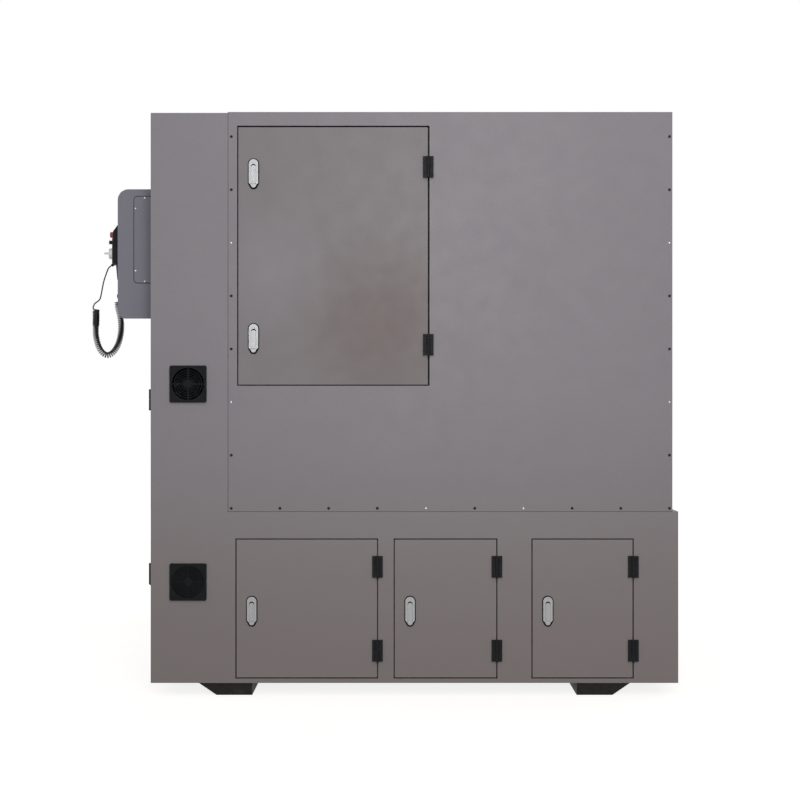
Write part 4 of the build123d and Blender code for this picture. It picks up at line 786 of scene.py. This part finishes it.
# Rubber round the two front windows: proud on the sliding door, nearly flush on the fixed pane it passes
window_margin, glass_overlap = 90 * MM, 16 * MM
bead_lap, bead_corner, slider_face = 8 * MM, 16 * MM, 32 * MM
door_u, door_v = spans("front_door", 0)
on_slider = skin((0, front_skin - slider_face, 0), X, Z, -Y)
bead = np.array([(0, 0), (0, 2.2), (1.5, 3.4), (6.0, 3.4), (11.0, 1.2), (12.0, 0), (12.0, -2)]) * MM
bead_u, bead_v = (grown(limits, bead_lap - window_margin) for limits in (door_u, door_v))
ring = framed(on_slider, bead_u, bead_v, bead, bead_corner)
make_piece("sliding_window_bead", [ring], seal_rubber, "front_door")
pane_u, pane_v = spans("fixed_window", 0)
flush_bead = np.array([(0, 0), (0, 0.8), (1.5, 1.2), (9.0, 1.2), (11.5, 0.4), (12.0, 0), (12.0, -2)]) * MM
bead_u, bead_v = (grown(limits, bead_lap - glass_overlap) for limits in (pane_u, pane_v))
ring = framed(on_front, bead_u, bead_v, flush_bead, bead_corner)
make_piece("fixed_window_bead", [ring], seal_rubber, "root")

# Operator face: the display's glass, and key caps on the pads
face_set_back, glass_corner = 2 * MM, 5 * MM
on_face = skin((0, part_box("control_box")[0][1] + face_set_back, 0), X, Z, -Y)
glass_u, glass_v = (334 * MM, 514 * MM), (1560 * MM, 1700 * MM)
glass_profile = np.array([(0.3, 0), (0.3, 1.0), (0.8, 1.5), (4.0, 1.7)]) * MM
pane = tile(on_face, glass_u, glass_v, glass_profile, glass_corner)
make_piece("display_pane", [pane], display_glass, "root")
key_profile = np.array([(0, 2.5), (0, 3.2), (0.6, 3.8), (2.2, 4.1)]) * MM
key_middle, key_pitch = np.array((424, 1441)) * MM, 22 * MM
key_counts, key_half, key_corner = np.array((9, 8)), 7 * MM, 2.5 * MM
key_grid = np.stack(np.meshgrid(*(np.arange(count) for count in key_counts)), -1).reshape(-1, 2)
key_places = key_middle + key_pitch * (key_grid - (key_counts - 1) / 2)
# The last two keys of the bottom row are red and green
start_key, stop_key = key_counts[0] - 1, key_counts[0] - 2
others = [index for index in range(len(key_places)) if index not in (start_key, stop_key)]
key_kinds = {"keys_green": (key_green, [start_key]), "keys_red": (key_red, [stop_key])}
key_kinds["keys_grey"] = (key_grey, others)
for name, (material, chosen) in key_kinds.items():
    limits = [(grown((x, x), key_half), grown((z, z), key_half)) for x, z in key_places[chosen]]
    caps = [tile(on_face, u, v, key_profile, key_corner, 3) for u, v in limits]
    make_piece(name, caps, material, "root")

# Floor, light and camera
floor_size = 60
bpy.ops.mesh.primitive_plane_add(size=floor_size, location=(0, 0, 0))
floor = bpy.context.object
floor.name = "floor"


def seen(tree):
    """1 where the camera, a mirror or a pane looks, and 0 for the rest of the light."""
    path = add(tree, "LightPath")
    either = add(tree, "Math", operation="MAXIMUM")
    tree.links.new(path.outputs["Is Camera Ray"], either.inputs[0])
    tree.links.new(path.outputs["Is Glossy Ray"], either.inputs[1])
    any_view = add(tree, "Math", operation="MAXIMUM")
    tree.links.new(either.outputs["Value"], any_view.inputs[0])
    tree.links.new(path.outputs["Is Transmission Ray"], any_view.inputs[1])
    return any_view.outputs["Value"]


paper = bpy.data.materials.new("paper_backdrop_white")
paper.use_nodes = True
tree = paper.node_tree
tree.nodes.clear()
# White paper. Where it is seen it glows, and more so farther away, so that the floor's end doesn't show. The
# glow lights nothing.
near, far, near_glow, far_glow = 2.5, 7.0, 0.84, 0.96
matt = add(tree, "BsdfDiffuse", Color=linear("#8C857F"))
where = add(tree, "TexCoord").outputs["Object"]
away = add(tree, "VectorMath", {"Vector": where}, operation="LENGTH").outputs["Value"]
limits = dict(From_Min=near, From_Max=far, To_Min=near_glow, To_Max=far_glow)
brightness = add(tree, "MapRange", {"Value": away}, **limits)
glow = add(tree, "Emission", {"Strength": brightness.outputs["Result"]}, Color=linear("#FFFFFF"))
both = add(tree, "AddShader")
tree.links.new(matt.outputs["BSDF"], both.inputs[0])
tree.links.new(glow.outputs["Emission"], both.inputs[1])
choose = add(tree, "MixShader", {"Fac": seen(tree)})
tree.links.new(matt.outputs["BSDF"], choose.inputs[1])
tree.links.new(both.outputs["Shader"], choose.inputs[2])
add(tree, "OutputMaterial", {"Surface": choose.outputs["Shader"]})
floor.data.materials.append(paper)

world = bpy.data.worlds.new("studio")
world.use_nodes = True
bpy.context.scene.world = world
tree = world.node_tree
tree.nodes.clear()
soft = add(tree, "Background", Color=linear("#EFF2FC"), Strength=0.38)
white = add(tree, "Background", Color=linear("#FFFFFF"), Strength=1.0)
choose = add(tree, "MixShader", {"Fac": seen(tree)})
tree.links.new(soft.outputs["Background"], choose.inputs[1])
tree.links.new(white.outputs["Background"], choose.inputs[2])
add(tree, "OutputWorld", {"Surface": choose.outputs["Shader"]})


def soft_box(name, place, aim, size, power):
    """Square area lamp at a place, turned to face a point."""
    lamp = bpy.data.lights.new(name, "AREA")
    lamp.shape = "SQUARE"
    lamp.size = size
    lamp.energy = power
    lamp.color = linear("#FFFDFB")[:3]
    holder = bpy.data.objects.new(name, lamp)
    holder.location = place
    reach = np.array(aim, float) - np.array(place, float)
    yaw = math.atan2(reach[1], reach[0])
    pitch = math.atan2(-reach[2], math.hypot(reach[0], reach[1]))
    holder.rotation_euler = (0, pitch - math.pi / 2, yaw)
    bpy.context.scene.collection.objects.link(holder)


soft_box("key_box", (4.6, 1.0, 5.0), (0.8, 0.1, 1.4), 3.0, 85)
soft_box("fill_box", (4.6, 0.2, 1.9), (0.8, 0.1, 1.4), 1.5, 60)
soft_box("front_box", (0.5, -5.5, 3.5), (0, -0.9, 1.0), 3.0, 90)
soft_box("rear_box", (-2.5, 5.5, 4.0), (0, 0.8, 1.0), 3.0, 140)
soft_box("left_box", (-5.5, -0.6, 3.2), (-0.8, 0, 1.0), 3.0, 125)
# Small lamp under the roof, which lights the working space
soft_box("work_lamp", (0.0, -0.58, 1.9), (0.0, -0.2, 1.0), 0.3, 5)

camera_data = bpy.data.cameras.new("photo_camera")
camera_data.lens = 55.4
camera_data.sensor_width = 36.0
camera = bpy.data.objects.new("photo_camera", camera_data)
camera.location = (5.0, -0.0494, 1.0074)
camera.rotation_euler = (math.pi / 2, 0, math.pi / 2)
bpy.context.scene.collection.objects.link(camera)
bpy.context.scene.camera = camera
bpy.context.scene.view_settings.view_transform = "Standard"
